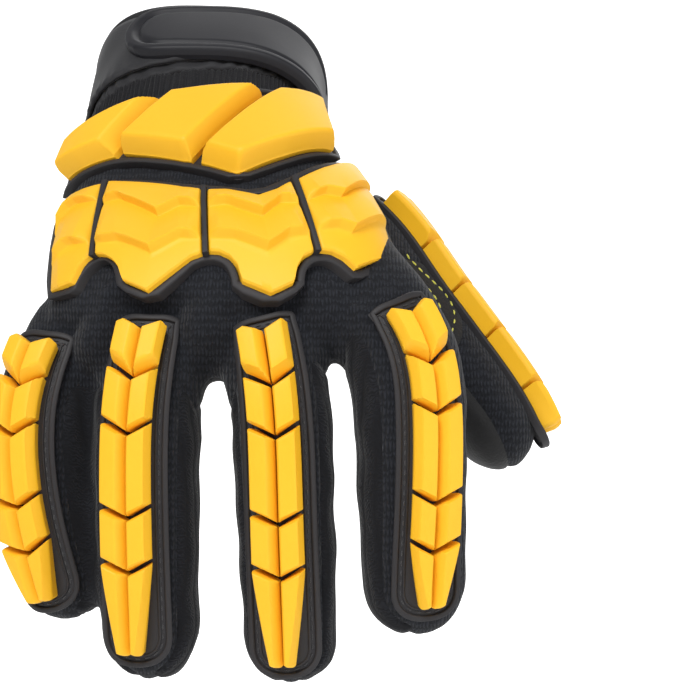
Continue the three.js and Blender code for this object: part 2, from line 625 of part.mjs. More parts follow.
// Finger and thumb guards: a long base and five blocks, each with a groove down its middle and pointed ends
const blockColumns = [
  { share: -1, lift: 0.4 }, { share: -0.76, lift: 1 }, { share: 0, lift: 0.5 }, { share: 0.76, lift: 1 },
  { share: 1, lift: 0.4 },
];
const blockRows = [
  { inset: 0, lift: 0.4 }, { inset: 0.9, lift: 1 }, { inset: -0.9, lift: 1 }, { inset: 0, lift: 0.4 },
];
const plateColumns = [
  { share: -1, cut: 3.5 }, { share: -0.7, cut: 0.6 }, { share: -0.3, cut: 0 },
  { share: 0.3, cut: 0 }, { share: 0.7, cut: 0.6 }, { share: 1, cut: 3.5 },
];
for (const [name, row] of Object.entries(fingers)) {
  const tube = tubes[name];
  const plateStart = row.ends[0] - fingerPlateStart;
  const plateEnd = row.ends[row.ends.length - 1] + fingerPlateEnd;
  plate(`${name}_plate`, tube, plateColumns.map(({ share, cut }) => (
    { w: share * fingerPlateHalf, top: plateStart + cut / 2, bottom: plateEnd - cut }
  )));
  row.ends.slice(0, -1).forEach((start, n) => {
    const lastBlock = n === row.ends.length - 2;
    const end = row.ends[n + 1] - (lastBlock ? chevron : 0);
    const grid = blockRows.map((edge, i) => blockColumns.map(({ share, lift }) => {
      const along = i < 2 ? start + blockSpacing : end;
      const taper = lastBlock && i > 1 ? 0.5 : 1;
      const point = chevron * (1 - Math.abs(share)) * (n === 0 && i < 2 ? 0.4 : 1);
      const top = blockFoot + fingerBlockHeight * Math.min(lift, edge.lift);
      return [share * fingerBlockHalf * taper, along + point + edge.inset, top];
    }));
    block(`${name}_block_${n + 1}`, tube, grid, n === 0);
  });
}

// Each piece becomes one named mesh
const glove = new THREE.Group();
glove.name = "anti_vibration_glove";
for (const { name, solid, look } of pieces) {
  const { vertProperties, triVerts, numProp } = solid.getMesh();
  const positions = new Float32Array((vertProperties.length / numProp) * 3);
  for (let i = 0; i * numProp < vertProperties.length; i += 1) {
    for (let k = 0; k < 3; k += 1) positions[i * 3 + k] = vertProperties[i * numProp + k];
  }
  const geometry = new THREE.BufferGeometry();
  geometry.setAttribute("position", new THREE.BufferAttribute(positions, 3));
  geometry.setIndex([...triVerts]);
  geometry.computeVertexNormals();
  const mesh = new THREE.Mesh(geometry, new THREE.MeshStandardMaterial(look));
  mesh.name = name;
  glove.add(mesh);
}

export default glove;
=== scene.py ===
import bmesh
import bpy
import numpy as np
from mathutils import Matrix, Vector
from mathutils.bvhtree import BVHTree


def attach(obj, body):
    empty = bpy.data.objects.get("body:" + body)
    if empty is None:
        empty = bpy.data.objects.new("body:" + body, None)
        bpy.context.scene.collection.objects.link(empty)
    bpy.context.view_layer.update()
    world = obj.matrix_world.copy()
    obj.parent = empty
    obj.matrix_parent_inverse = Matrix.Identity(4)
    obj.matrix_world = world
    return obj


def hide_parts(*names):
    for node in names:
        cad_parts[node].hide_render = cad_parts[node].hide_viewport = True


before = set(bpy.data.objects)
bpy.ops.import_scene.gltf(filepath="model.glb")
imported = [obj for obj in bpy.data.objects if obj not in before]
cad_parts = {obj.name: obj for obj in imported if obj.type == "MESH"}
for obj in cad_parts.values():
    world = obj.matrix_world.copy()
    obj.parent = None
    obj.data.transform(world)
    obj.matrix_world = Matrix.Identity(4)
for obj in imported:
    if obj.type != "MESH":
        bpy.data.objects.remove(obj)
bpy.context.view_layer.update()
print("frame loaded:", len(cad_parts), "pieces")

mm = 0.001
quarter = np.pi / 2

# The form under the glove, in millimetres: origin in the wrist opening, fingers down -Z, backs to -Y

handForm = {
    "length": 138, "width": 88, "thickness": 31, "tip": 10,
    # share of the length, slope below level, turn to +X, roll to +X
    "bends": [(0, 30, -2, 0), (0.3, 31, 3, -2), (0.5, 37, 8, -4), (0.72, 41, 9, -6), (0.86, 54, 6, -6),
              (1, 66, 3, -6)],
    # share of the length, half as a share of the width, up and down of the thickness, squareness
    "sections": [(0, 0.36, 0.79, 0.8, 2.9), (0.14, 0.352, 0.79, 0.82, 2.8), (0.32, 0.362, 0.72, 0.74, 2.6),
                 (0.45, 0.395, 0.64, 0.7, 2.5), (0.6, 0.446, 0.58, 0.66, 2.4), (0.78, 0.488, 0.54, 0.56, 2.4),
                 (0.9, 0.504, 0.5, 0.48, 2.4), (1, 0.5, 0.42, 0.42, 2.4)],
}
fingerSections = [(0, 0.45, 0.45, 0.45, 2.3), (0.3, 0.5, 0.5, 0.5, 2.3), (0.6, 0.48, 0.48, 0.49, 2.3),
                  (0.85, 0.455, 0.42, 0.44, 2.3), (1, 0.435, 0.39, 0.4, 2.3)]
thumbSections = [(0, 0.4, 0.3, 0.4, 2.3), (0.3, 0.525, 0.5, 0.575, 2.3), (0.6, 0.5, 0.5, 0.525, 2.3),
                 (0.85, 0.465, 0.45, 0.475, 2.3), (1, 0.43, 0.41, 0.425, 2.3)]
fingerForms = {
    "index": {
        "rootAt": 0.79, "side": 34, "rise": -1, "length": 105, "width": 29, "thickness": 25,
        "ends": [27, 37.6, 48.2, 68.6, 79.8, 96.5], "walls": ["left"], "sections": fingerSections,
        "bends": [(0, 50, 34, 14), (0.22, 66, 31, 20), (0.42, 80, 6, 22), (0.7, 88, 1, 19), (1, 95, 3, 12)],
    },
    "middle": {
        "rootAt": 0.8, "side": 12.9, "rise": 1, "length": 109, "width": 26, "thickness": 24,
        "ends": [21.8, 33.8, 45, 65, 77.8, 102.4], "walls": ["left", "right"], "sections": fingerSections,
        "bends": [(0, 50, 13, -3), (0.22, 68, 10, -4), (0.45, 84, 3, -5), (0.72, 90, 2, -6), (1, 94, 2, -6)],
    },
    "ring": {
        "rootAt": 0.79, "side": -9.7, "rise": 0, "length": 104, "width": 27, "thickness": 24,
        "ends": [17.6, 28.6, 40.2, 59.3, 72.2, 95.6], "walls": ["left", "right"], "sections": fingerSections,
        "bends": [(0, 50, -14, -12), (0.22, 68, -8, -13), (0.45, 84, 0, -14), (0.72, 90, 1, -15),
                  (1, 94, 1, -15)],
    },
    "little": {
        "rootAt": 0.75, "side": -32, "rise": -3, "length": 88, "width": 25.5, "thickness": 23,
        "ends": [19.6, 28.6, 38.2, 54, 64.8, 80.2], "walls": ["right"], "sections": fingerSections,
        "bends": [(0, 50, -26, -24), (0.25, 68, -18, -27), (0.5, 84, 2, -26), (0.75, 90, 12, -26),
                  (1, 94, 18, -26)],
    },
    "thumb": {
        "rootAt": 0.3, "side": 18.5, "rise": -8, "length": 115, "width": 27, "thickness": 24,
        "ends": [32, 50, 66, 82.5, 99, 109.5], "walls": [], "sections": thumbSections,
        "bends": [(0, 76, 54, 70), (0.25, 72, 43, 80), (0.42, 68, 33, 86), (0.6, 71, 37, 90),
                  (0.8, 68, 36, 92), (1, 70, 18, 92)],
    },
}


# A smooth value between rows whose first column is a place: cubic Hermite, slopes from the neighbours.
def throughRows(rows, at):
    rows = np.asarray(rows, float)
    place, values = rows[:, 0], rows[:, 1:]
    before = np.maximum(np.arange(len(rows)) - 1, 0)
    after = np.minimum(np.arange(len(rows)) + 1, len(rows) - 1)
    slope = (values[after] - values[before]) / (place[after] - place[before])[:, None]
    k = np.searchsorted(place[1:-1], at)
    gap = (place[k + 1] - place[k])[:, None]
    u = np.clip((np.asarray(at)[:, None] - place[k][:, None]) / gap, 0, 1)
    return (values[k] * (1 + 2 * u) * (1 - u) ** 2 + slope[k] * gap * u * (1 - u) ** 2
            + values[k + 1] * u * u * (3 - 2 * u) - slope[k + 1] * gap * u * u * (1 - u))


# Frames along a bent line: it starts at a point, and each step goes on in the direction of its bend.
def makeForm(start, shape, steps=80):
    pitch, lean, roll = np.radians(throughRows(shape["bends"], np.linspace(0, 1, steps + 1))).T
    onward = np.stack([np.sin(pitch) * np.sin(lean), -np.cos(pitch), -np.sin(pitch) * np.cos(lean)], 1)
    level = np.stack([-np.cos(pitch) * np.sin(lean), -np.sin(pitch), np.cos(pitch) * np.cos(lean)], 1)
    across = np.cross(level, onward)
    up = level * np.cos(roll)[:, None] + across * np.sin(roll)[:, None]
    side = across * np.cos(roll)[:, None] - level * np.sin(roll)[:, None]
    walked = np.vstack([np.zeros(3), np.cumsum(onward[:-1], 0) * shape["length"] / steps])
    sections = np.array(shape["sections"], float)
    sections[:, 1] *= shape["width"]
    sections[:, 2:4] *= shape["thickness"]
    return {"length": shape["length"], "tip": shape.get("tip", shape["width"] / 2), "steps": steps,
            "point": np.asarray(start) + walked, "onward": onward, "up": up, "side": side,
            "sections": sections}


def frameAt(form, t):
    place = np.clip(t / form["length"] * form["steps"], 0, form["steps"] - 0.0001)
    k = place.astype(int)
    share = (place - k)[:, None]
    point, onward, up, side = [form[key][k] * (1 - share) + form[key][k + 1] * share
                               for key in ("point", "onward", "up", "side")]
    beyond = t - place / form["steps"] * form["length"]
    return point + onward * beyond[:, None], onward, up, side


# Section at t and angle a: x = (half + out) sgn(cos a) |cos a|^(2/n),
# and z the same with the thickness and sin a.
def sectionAt(form, t, angle, out):
    half, up, down, power = throughRows(form["sections"], t / form["length"]).T
    c, s = np.cos(angle), np.sin(angle)
    x = (half + out) * np.sign(c) * np.abs(c) ** (2 / power)
    z = (np.where(s > 0, up, down) + out) * np.sign(s) * np.abs(s) ** (2 / power)
    return x, z


# The section at t carried along the form. A rounded form closes to a dome past the start of its tip.
def onSkin(form, t, angle, out, rounded=False):
    t, angle, out = [a.astype(float) for a in np.broadcast_arrays(t, angle, out)]
    shape = t.shape
    t, angle, out = t.ravel(), angle.ravel(), out.ravel()
    x, z = sectionAt(form, t, angle, out)
    close = np.ones(len(t))
    if rounded:
        u = np.maximum((t - form["length"] + form["tip"]) / (form["tip"] + out), 0)
        close = np.maximum(1 - u ** 2.3, 0) ** (1 / 2.3)
    point, _, up, side = frameAt(form, t)
    place = point + side * (x * close)[:, None] + up * (z * close)[:, None]
    return place.reshape(shape + (3,))


# Angle that lies w millimetres round the section from the middle of the back,
# by the length of a polygon with a corner every 1.5 degrees.
def angleAt(form, t, w):
    step, corners = np.radians(1.5), 121
    turns = np.arange(corners) * step
    x, z = sectionAt(form, np.repeat(t, corners), np.tile(quarter - turns, len(t)), 0)
    x, z = x.reshape(-1, corners), z.reshape(-1, corners)
    arcs = np.hstack([np.zeros((len(t), 1)), np.cumsum(np.hypot(np.diff(x), np.diff(z)), 1)])
    k = np.clip((arcs < np.abs(w)[:, None]).sum(1), 1, corners - 1)
    rows = np.arange(len(t))
    share = (np.abs(w) - arcs[rows, k - 1]) / (arcs[rows, k] - arcs[rows, k - 1])
    return quarter - np.sign(w) * (k - 1 + share) * step


# Point w millimetres round and t along a form, lifted off its skin.
def onBack(form, w, t, lift):
    w, t, lift = [a.astype(float) for a in np.broadcast_arrays(w, t, lift)]
    angle = angleAt(form, t.ravel(), w.ravel()).reshape(w.shape)
    return onSkin(form, t, angle, lift)


hand = makeForm((0, 0, 0), handForm)
forms = {"hand": hand}
for fingerName, shape in fingerForms.items():
    origin, _, up, side = frameAt(hand, np.array([handForm["length"] * shape["rootAt"]]))
    forms[fingerName] = makeForm(origin[0] + side[0] * shape["side"] + up[0] * shape["rise"], shape)
print("form ready:", ", ".join(forms))


# Meshes from arrays

# Quads of a grid of rows and columns. Closed grids join their last row or column to the first.
def gridFaces(rows, columns, closedRows=False, closedColumns=False):
    i = np.arange(rows if closedRows else rows - 1)[:, None]
    j = np.arange(columns if closedColumns else columns - 1)[None, :]
    i2, j2 = (i + 1) % rows, (j + 1) % columns
    corners = [i * columns + j, i2 * columns + j, i2 * columns + j2, i * columns + j2]
    return np.stack(corners, -1).reshape(-1, 4)


# Faces turned so that the closed mesh holds a positive volume:
# the sum of p0 . (p1 x p2) / 6 over its triangles.
def facingOut(points, faces):
    corners = points[faces]
    volume = sum((corners[:, 0] * np.cross(corners[:, k], corners[:, k + 1])).sum()
                 for k in range(1, faces.shape[1] - 1))
    return faces if volume > 0 else faces[:, ::-1]


# A closed pad: the grid itself, the same grid at its foot, and a wall between their edges.
def padMesh(top, foot):
    rows, columns = top.shape[:2]
    count = rows * columns
    index = np.arange(count).reshape(rows, columns)
    rim = np.concatenate([index[0, :], index[1:, -1], index[-1, -2::-1], index[-2:0:-1, 0]])
    onwards = np.roll(rim, -1)
    cap = gridFaces(rows, columns)
    faces = np.vstack([cap[:, ::-1], cap + count, np.stack([rim, onwards, onwards + count, rim + count], 1)])
    points = np.vstack([top.reshape(-1, 3), foot.reshape(-1, 3)])
    return points, facingOut(points, faces)


# Rings of points joined into one closed tube, whose last ring joins its first.
def ringMesh(rings):
    rows, columns = rings.shape[:2]
    points = rings.reshape(-1, 3)
    return points, facingOut(points, gridFaces(rows, columns, True, True))


# A sheet of triangles with thickness: its points again further in, and a wall along every open edge.
def shellMesh(points, triangles, normals, wall):
    count = len(points)
    ahead = np.vstack([triangles[:, [0, 1]], triangles[:, [1, 2]], triangles[:, [2, 0]]]).astype(np.int64)
    isOpen = ~np.isin(ahead[:, 0] * count + ahead[:, 1], ahead[:, 1] * count + ahead[:, 0])
    a, b = ahead[isOpen].T
    rim = np.stack([b, a, a + count, b + count], 1)
    faces = triangles.tolist() + (triangles[:, ::-1] + count).tolist() + rim.tolist()
    return np.vstack([points, points - normals * wall]), faces


def joined(parts):
    points, faces, count = [], [], 0
    for partPoints, partFaces in parts:
        points.append(partPoints)
        faces += (partFaces + count).tolist()
        count += len(partPoints)
    return np.vstack(points), faces


def newObject(name, points, faces):
    mesh = bpy.data.meshes.new(name)
    faces = faces if isinstance(faces, list) else faces.tolist()
    mesh.from_pydata((np.asarray(points) * mm).tolist(), [], faces)
    mesh.update()
    made = bpy.data.objects.new(name, mesh)
    bpy.context.scene.collection.objects.link(made)
    return made


# A finished piece: it rides on the one body and stands for its CAD nodes.
def newPiece(name, points, faces, material, slot, nodes=(), sharp=None):
    piece = newObject(name, points, faces)
    piece.data.shade_smooth()
    if sharp:
        piece.data.set_sharp_from_angle(angle=np.radians(sharp))
    piece.data.materials.append(material)
    if nodes:
        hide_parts(*nodes)
    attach(piece, "root")
    return piece


def pointMask(piece, name, values):
    attribute = piece.data.attributes.new(name, "FLOAT", "POINT")
    attribute.data.foreach_set("value", np.asarray(values, np.float32).ravel())


# Piecewise straight profile with its corners rounded: the mean of five readings within a reach.
def softProfile(x, places, heights, reach):
    return sum(np.interp(x + reach * k, places, heights) for k in (-1, -0.5, 0, 0.5, 1)) / 5


# Corners cut at a quarter and three quarters of each side, a few times over.
def cornersCut(points, times=3, closed=True):
    points = np.asarray(points, float)
    for _ in range(times):
        after = np.roll(points, -1, 0)
        cut = np.stack([0.75 * points + 0.25 * after, 0.25 * points + 0.75 * after], 1).reshape(-1, 2)
        points = cut if closed else np.vstack([points[:1], cut[1:-3], points[-1:]])
    return points


# Even steps along a closed line
def resampled(points, spacing):
    loop = np.vstack([points, points[:1]])
    along = np.r_[0, np.cumsum(np.hypot(*np.diff(loop, axis=0).T))]
    at = np.linspace(0, along[-1], int(along[-1] / spacing) + 1)[:-1]
    return np.stack([np.interp(at, along, loop[:, k]) for k in (0, 1)], 1)


# Inward normals of a closed line in the (w, t) plane
def inwardOf(loop):
    onward = np.roll(loop, -1, 0) - np.roll(loop, 1, 0)
    onward /= np.hypot(*onward.T)[:, None]
    area = (loop[:, 0] * np.roll(loop[:, 1], -1) - np.roll(loop[:, 0], -1) * loop[:, 1]).sum()
    return np.stack([-onward[:, 1], onward[:, 0]], 1) * np.sign(area)


# A closed line moved in by a distance, along its normals smoothed over their neighbours
def movedIn(loop, distance):
    inward = inwardOf(loop)
    inward = (np.roll(inward, 1, 0) + inward + np.roll(inward, -1, 0)) / 3
    return loop + inward * distance


# A rim carried along a closed line: its profile is (distance inwards, lift) pairs, closed on itself.
def rimMesh(form, loop, profile):
    rings = [onBack(form, *movedIn(loop, inset).T, np.full(len(loop), lift)) for inset, lift in profile]
    return ringMesh(np.stack(rings))


# Shortest distance from each (w, t) to an open line
def distanceTo(line, w, t):
    a, b = line[:-1], line[1:]
    p = np.stack([w.ravel(), t.ravel()], 1)[:, None]
    share = np.clip(((p - a) * (b - a)).sum(-1) / np.maximum(((b - a) ** 2).sum(-1), 1e-9), 0, 1)
    return np.sqrt((((a + (b - a) * share[..., None]) - p) ** 2).sum(-1).min(1)).reshape(w.shape)


# Node helpers and shared groups

def addNode(tree, kind, **values):
    node = tree.nodes.new(kind)
    for key, value in values.items():
        setattr(node, key, value)
    return node


def setInput(tree, socket, value):
    if isinstance(value, bpy.types.NodeSocket):
        tree.links.new(value, socket)
    else:
        socket.default_value = value


def calc(tree, operation, a, b=0.0, c=0.0):
    node = addNode(tree, "ShaderNodeMath", operation=operation)
    for socket, value in zip(node.inputs, (a, b, c)):
        setInput(tree, socket, value)
    return node.outputs[0]


def mixColors(tree, share, a, b):
    node = addNode(tree, "ShaderNodeMix", data_type="RGBA")
    setInput(tree, node.inputs[0], share)
    setInput(tree, node.inputs[6], a)
    setInput(tree, node.inputs[7], b)
    return node.outputs[2]


def noise(tree, vector, scale, detail=3.0):
    node = addNode(tree, "ShaderNodeTexNoise")
    tree.links.new(vector, node.inputs["Vector"])
    setInput(tree, node.inputs["Scale"], scale)
    node.inputs["Detail"].default_value = detail
    return node.outputs[0]


def newGroup(name, inputs, outputs):
    group = bpy.data.node_groups.new(name, "ShaderNodeTree")
    for label, kind in inputs:
        group.interface.new_socket(label, in_out="INPUT", socket_type=kind)
    for label, kind in outputs:
        group.interface.new_socket(label, in_out="OUTPUT", socket_type=kind)
    return group, group.nodes.new("NodeGroupInput"), group.nodes.new("NodeGroupOutput")


# Moulded or grained skin: two tones mixed by wide clouds, and a height from fine grain.
def makeGrainGroup():
    tree, given, out = newGroup("grainedSkin", [
        ("Millimetres", "NodeSocketVector"), ("Tone A", "NodeSocketColor"), ("Tone B", "NodeSocketColor"),
        ("Grain Size", "NodeSocketFloat"), ("Grain Mask", "NodeSocketFloat"),
    ], [("Color", "NodeSocketColor"), ("Height", "NodeSocketFloat"), ("Wear", "NodeSocketFloat")])
    place = given.outputs["Millimetres"]
    clouds = noise(tree, place, 0.045, 4.0)
    fine = noise(tree, place, calc(tree, "DIVIDE", 1.0, given.outputs["Grain Size"]), 2.0)
    specks = noise(tree, place, calc(tree, "DIVIDE", 0.35, given.outputs["Grain Size"]), 1.0)
    mask = given.outputs["Grain Mask"]
    tone = calc(tree, "MULTIPLY_ADD", calc(tree, "SUBTRACT", specks, 0.5), 0.35, clouds)
    tree.links.new(mixColors(tree, tone, given.outputs["Tone A"], given.outputs["Tone B"]),
                   out.inputs["Color"])
    grain = calc(tree, "MULTIPLY_ADD", fine, 0.7, calc(tree, "MULTIPLY", specks, 0.3))
    tree.links.new(calc(tree, "MULTIPLY", grain, mask), out.inputs["Height"])
    tree.links.new(clouds, out.inputs["Wear"])
    return tree


# Ribbed cloth: ribs side by side across one direction, each filled with slanted stitches along the other.
# height = |sin(pi across / rib)| * (0.6 + 0.4 sin(2 pi (along + slant * zigzag) / stitch))
def makeRibGroup():
    tree, given, out = newGroup("ribbedCloth", [
        ("Across", "NodeSocketFloat"), ("Along", "NodeSocketFloat"), ("Rib", "NodeSocketFloat"),
        ("Stitch", "NodeSocketFloat"), ("Slant", "NodeSocketFloat"), ("Zigzag", "NodeSocketFloat"),
    ], [("Height", "NodeSocketFloat"), ("Painted Groove Shade", "NodeSocketFloat")])
    ribs = calc(tree, "DIVIDE", given.outputs["Across"], given.outputs["Rib"])
    bulge = calc(tree, "ABSOLUTE", calc(tree, "SINE", calc(tree, "MULTIPLY", ribs, np.pi)))
    teeth = calc(tree, "PINGPONG", ribs, 0.5)
    straight = calc(tree, "MULTIPLY", ribs, 0.5)
    lean = calc(tree, "ADD", calc(tree, "MULTIPLY", teeth, given.outputs["Zigzag"]),
                calc(tree, "MULTIPLY", straight, calc(tree, "SUBTRACT", 1.0, given.outputs["Zigzag"])))
    rows = calc(tree, "MULTIPLY_ADD", lean, given.outputs["Slant"],
                calc(tree, "DIVIDE", given.outputs["Along"], given.outputs["Stitch"]))
    thread = calc(tree, "MULTIPLY_ADD", calc(tree, "SINE", calc(tree, "MULTIPLY", rows, 2 * np.pi)), 0.5, 0.5)
    height = calc(tree, "MULTIPLY", bulge, calc(tree, "MULTIPLY_ADD", thread, 0.5, 0.5))
    tree.links.new(height, out.inputs["Height"])
    # This output, the stitch wave times the rib bulge, is painted shade: lighter on rib and stitch tops,
    # darker in the grooves between them.
    tree.links.new(calc(tree, "MULTIPLY", thread, bulge), out.inputs["Painted Groove Shade"])
    return tree


grainGroup = makeGrainGroup()
ribGroup = makeRibGroup()


def newMaterial(name, roughness, **constants):
    material = bpy.data.materials.new(name)
    material.use_nodes = True
    tree = material.node_tree
    shader = tree.nodes["Principled BSDF"]
    shader.inputs["Roughness"].default_value = roughness
    for label, value in constants.items():
        shader.inputs[label.replace("_", " ")].default_value = value
    coordinates = addNode(tree, "ShaderNodeTexCoord")
    scaled = addNode(tree, "ShaderNodeVectorMath", operation="SCALE")
    tree.links.new(coordinates.outputs["Object"], scaled.inputs[0])
    scaled.inputs["Scale"].default_value = 1000
    return material, tree, shader, scaled.outputs[0]


def placeGroup(tree, group, **values):
    node = addNode(tree, "ShaderNodeGroup", node_tree=group)
    for label, value in values.items():
        setInput(tree, node.inputs[label.replace("_", " ")], value)
    return node


def addBump(tree, shader, height, strength, distance):
    bump = addNode(tree, "ShaderNodeBump")
    bump.inputs["Strength"].default_value = strength
    bump.inputs["Distance"].default_value = distance * mm
    tree.links.new(height, bump.inputs["Height"])
    tree.links.new(bump.outputs[0], shader.inputs["Normal"])


def readMask(tree, name):
    return addNode(tree, "ShaderNodeAttribute", attribute_name=name).outputs["Fac"]


rubberLooks = {
    "yellow": {"a": (0.93, 0.485, 0.016, 1), "b": (0.96, 0.53, 0.025, 1), "grain": 0.5, "rough": 0.5,
               "depth": 0.1},
    "dark": {"a": (0.022, 0.021, 0.023, 1), "b": (0.033, 0.031, 0.033, 1), "grain": 0.4, "rough": 0.55,
             "depth": 0.03},
    "tab": {"a": (0.01, 0.01, 0.013, 1), "b": (0.016, 0.016, 0.02, 1), "grain": 0.5, "rough": 0.5,
            "depth": 0.03},
}


def makeRubber(name, masked):
    look = rubberLooks[name]
    material, tree, shader, place = newMaterial(name + "Rubber", look["rough"], Specular_IOR_Level=0.3)
    skin = placeGroup(tree, grainGroup, Millimetres=place, Tone_A=look["a"], Tone_B=look["b"],
                      Grain_Size=look["grain"], Grain_Mask=readMask(tree, "grain") if masked else 1.0)
    tree.links.new(skin.outputs["Color"], shader.inputs["Base Color"])
    addBump(tree, shader, skin.outputs["Height"], 0.6, look["depth"])
    rough = calc(tree, "MULTIPLY_ADD", skin.outputs["Wear"], 0.2, look["rough"] - 0.1)
    tree.links.new(rough, shader.inputs["Roughness"])
    return material


clothLooks = {
    "knit": {"low": (0.0025, 0.003, 0.004, 1), "high": (0.022, 0.024, 0.031, 1), "rib": 0.9, "stitch": 2.1,
             "slant": 0.8, "zigzag": 1.0, "depth": 0.26, "rough": 0.92, "axes": ("X", "Z")},
    "twill": {"low": (0.003, 0.003, 0.004, 1), "high": (0.014, 0.015, 0.019, 1), "rib": 3.4, "stitch": 0.95,
              "slant": 5.0, "zigzag": 0.0, "depth": 0.3, "rough": 0.9, "axes": ("Y", "Z")},
    "ribbing": {"low": (0.004, 0.004, 0.005, 1), "high": (0.015, 0.015, 0.018, 1), "rib": 0.8, "stitch": 0.45,
                "slant": 0.3, "zigzag": 1.0, "depth": 0.1, "rough": 0.9, "axes": ("X", "Z")},
}


def makeCloth(name):
    look = clothLooks[name]
    material, tree, shader, place = newMaterial(name + "Cloth", look["rough"], Sheen_Weight=0.1,
                                                Specular_IOR_Level=0.2)
    split = addNode(tree, "ShaderNodeSeparateXYZ")
    tree.links.new(place, split.inputs[0])
    wobble = calc(tree, "MULTIPLY", calc(tree, "SUBTRACT", noise(tree, place, 0.12, 2.0), 0.5), 1.6)
    across = calc(tree, "ADD", split.outputs[look["axes"][0]], wobble)
    uneven = calc(tree, "MULTIPLY", calc(tree, "SUBTRACT", noise(tree, place, 0.6, 1.0), 0.5), 3.0)
    along = calc(tree, "ADD", split.outputs[look["axes"][1]], uneven)
    ribs = placeGroup(tree, ribGroup, Across=across, Along=along, Rib=look["rib"],
                      Stitch=look["stitch"], Slant=look["slant"], Zigzag=look["zigzag"])
    fuzz = noise(tree, place, 2.2, 2.0)
    # the colour takes the rib group's painted shade, darker in the grooves between ribs and stitches and
    # lighter on their tops; the fuzz is the cloth's own uneven tone
    tone = calc(tree, "MULTIPLY_ADD", fuzz, 0.5, calc(tree, "MULTIPLY", ribs.outputs["Painted Groove Shade"], 0.7))
    tree.links.new(mixColors(tree, tone, look["low"], look["high"]), shader.inputs["Base Color"])
    addBump(tree, shader, calc(tree, "MULTIPLY_ADD", fuzz, 0.25, ribs.outputs["Height"]), 0.8, look["depth"])
    return material


hideLooks = {
    "leather": {"a": (0.005, 0.005, 0.0055, 1), "b": (0.012, 0.012, 0.0125, 1), "grain": 0.7, "depth": 0.12,
                "rough": 0.7},
    "neoprene": {"a": (0.011, 0.011, 0.013, 1), "b": (0.018, 0.018, 0.021, 1), "grain": 0.35, "depth": 0.05,
                 "rough": 0.66},
    "binding": {"a": (0.008, 0.008, 0.009, 1), "b": (0.014, 0.014, 0.016, 1), "grain": 0.4, "depth": 0.06,
                "rough": 0.7},
}


def makeHide(name):
    look = hideLooks[name]
    material, tree, shader, place = newMaterial(name, look["rough"], Sheen_Weight=0.1,
                                                Specular_IOR_Level=0.35)
    skin = placeGroup(tree, grainGroup, Millimetres=place, Tone_A=look["a"], Tone_B=look["b"],
                      Grain_Size=look["grain"], Grain_Mask=1.0)
    cells = addNode(tree, "ShaderNodeTexVoronoi", feature="DISTANCE_TO_EDGE")
    tree.links.new(place, cells.inputs["Vector"])
    cells.inputs["Scale"].default_value = 0.8
    creases = calc(tree, "MINIMUM", calc(tree, "MULTIPLY", cells.outputs["Distance"], 4.0), 1.0)
    tree.links.new(skin.outputs["Color"], shader.inputs["Base Color"])
    height = calc(tree, "MULTIPLY_ADD", creases, 0.5, skin.outputs["Height"])
    addBump(tree, shader, height, 0.7, look["depth"])
    return material


def makeThread(name, low, high):
    material, tree, shader, place = newMaterial(name, 0.75, Sheen_Weight=0.3)
    twist = addNode(tree, "ShaderNodeTexWave", bands_direction="DIAGONAL")
    tree.links.new(place, twist.inputs["Vector"])
    twist.inputs["Scale"].default_value = 1.6
    tree.links.new(mixColors(tree, twist.outputs["Fac"], low, high), shader.inputs["Base Color"])
    addBump(tree, shader, twist.outputs["Fac"], 0.5, 0.05)
    return material


yellowRubber = makeRubber("yellow", True)
darkRubber = makeRubber("dark", False)
tabRubber = makeRubber("tab", False)
knitCloth = makeCloth("knit")
twillCloth = makeCloth("twill")
ribbingCloth = makeCloth("ribbing")
leather = makeHide("leather")
neoprene = makeHide("neoprene")
bindingHide = makeHide("binding")
darkThread = makeThread("darkThread", (0.01, 0.01, 0.011, 1), (0.05, 0.05, 0.055, 1))
limeThread = makeThread("limeThread", (0.45, 0.42, 0.03, 1), (0.8, 0.78, 0.12, 1))
print("materials ready")


# Cloth: one body of tubes grown together, then parted into sewn panels

clothValues = {
    "voxel": 1.15, "smoothing": 6, "webSmoothing": 26, "wall": 1.6, "seamDepth": 0.55, "seamWidth": 1.1,
    "wristEdge": 51.6, "webAt": 28,
    # degrees above the widest place of a section, where the seams run
    "seamAngles": {"hand": -10, "finger": 3, "thumb": -4, "wallTop": 38, "wallFoot": -32},
    "saddle": {"x": 56, "z": -71, "radius": 16.5, "front": -95},  # the round patch in the thumb's crotch
}


# A closed tube: rings along the form, a dome at its end and a point in the middle of each end.
def tubeMesh(form, start, sides=56, spacing=2.2):
    length, tip = form["length"], form["tip"]
    straight = np.linspace(start, length - tip, int((length - tip - start) / spacing) + 2)
    dome = length - tip + tip * np.sin(np.linspace(0, quarter, 9))[1:-1]
    t = np.r_[straight, dome]
    angle = np.linspace(0, 2 * np.pi, sides, endpoint=False)
    rings = onSkin(form, t[:, None], angle[None, :], 0.0, rounded=True)
    ends = frameAt(form, np.array([start, length], float))[0]
    count = len(t) * sides
    k = np.arange(sides)
    first = np.stack([np.full(sides, count), k, (k + 1) % sides], 1)
    last = np.stack([np.full(sides, count + 1), count - sides + (k + 1) % sides, count - sides + k], 1)
    faces = gridFaces(len(t), sides, closedColumns=True).tolist() + first.tolist() + last.tolist()
    return np.vstack([rings.reshape(-1, 3), ends]), faces


# The web between thumb and index finger is the hull round four balls.
# Each row: form, place along it, place across and above it, radius
webBalls = [("thumb", 44, 0, -1, 8.5), ("thumb", 62, 0, -4, 7.5), ("hand", 84, 34, -1, 8.5),
            ("hand", 108, 39, -1, 7.5)]


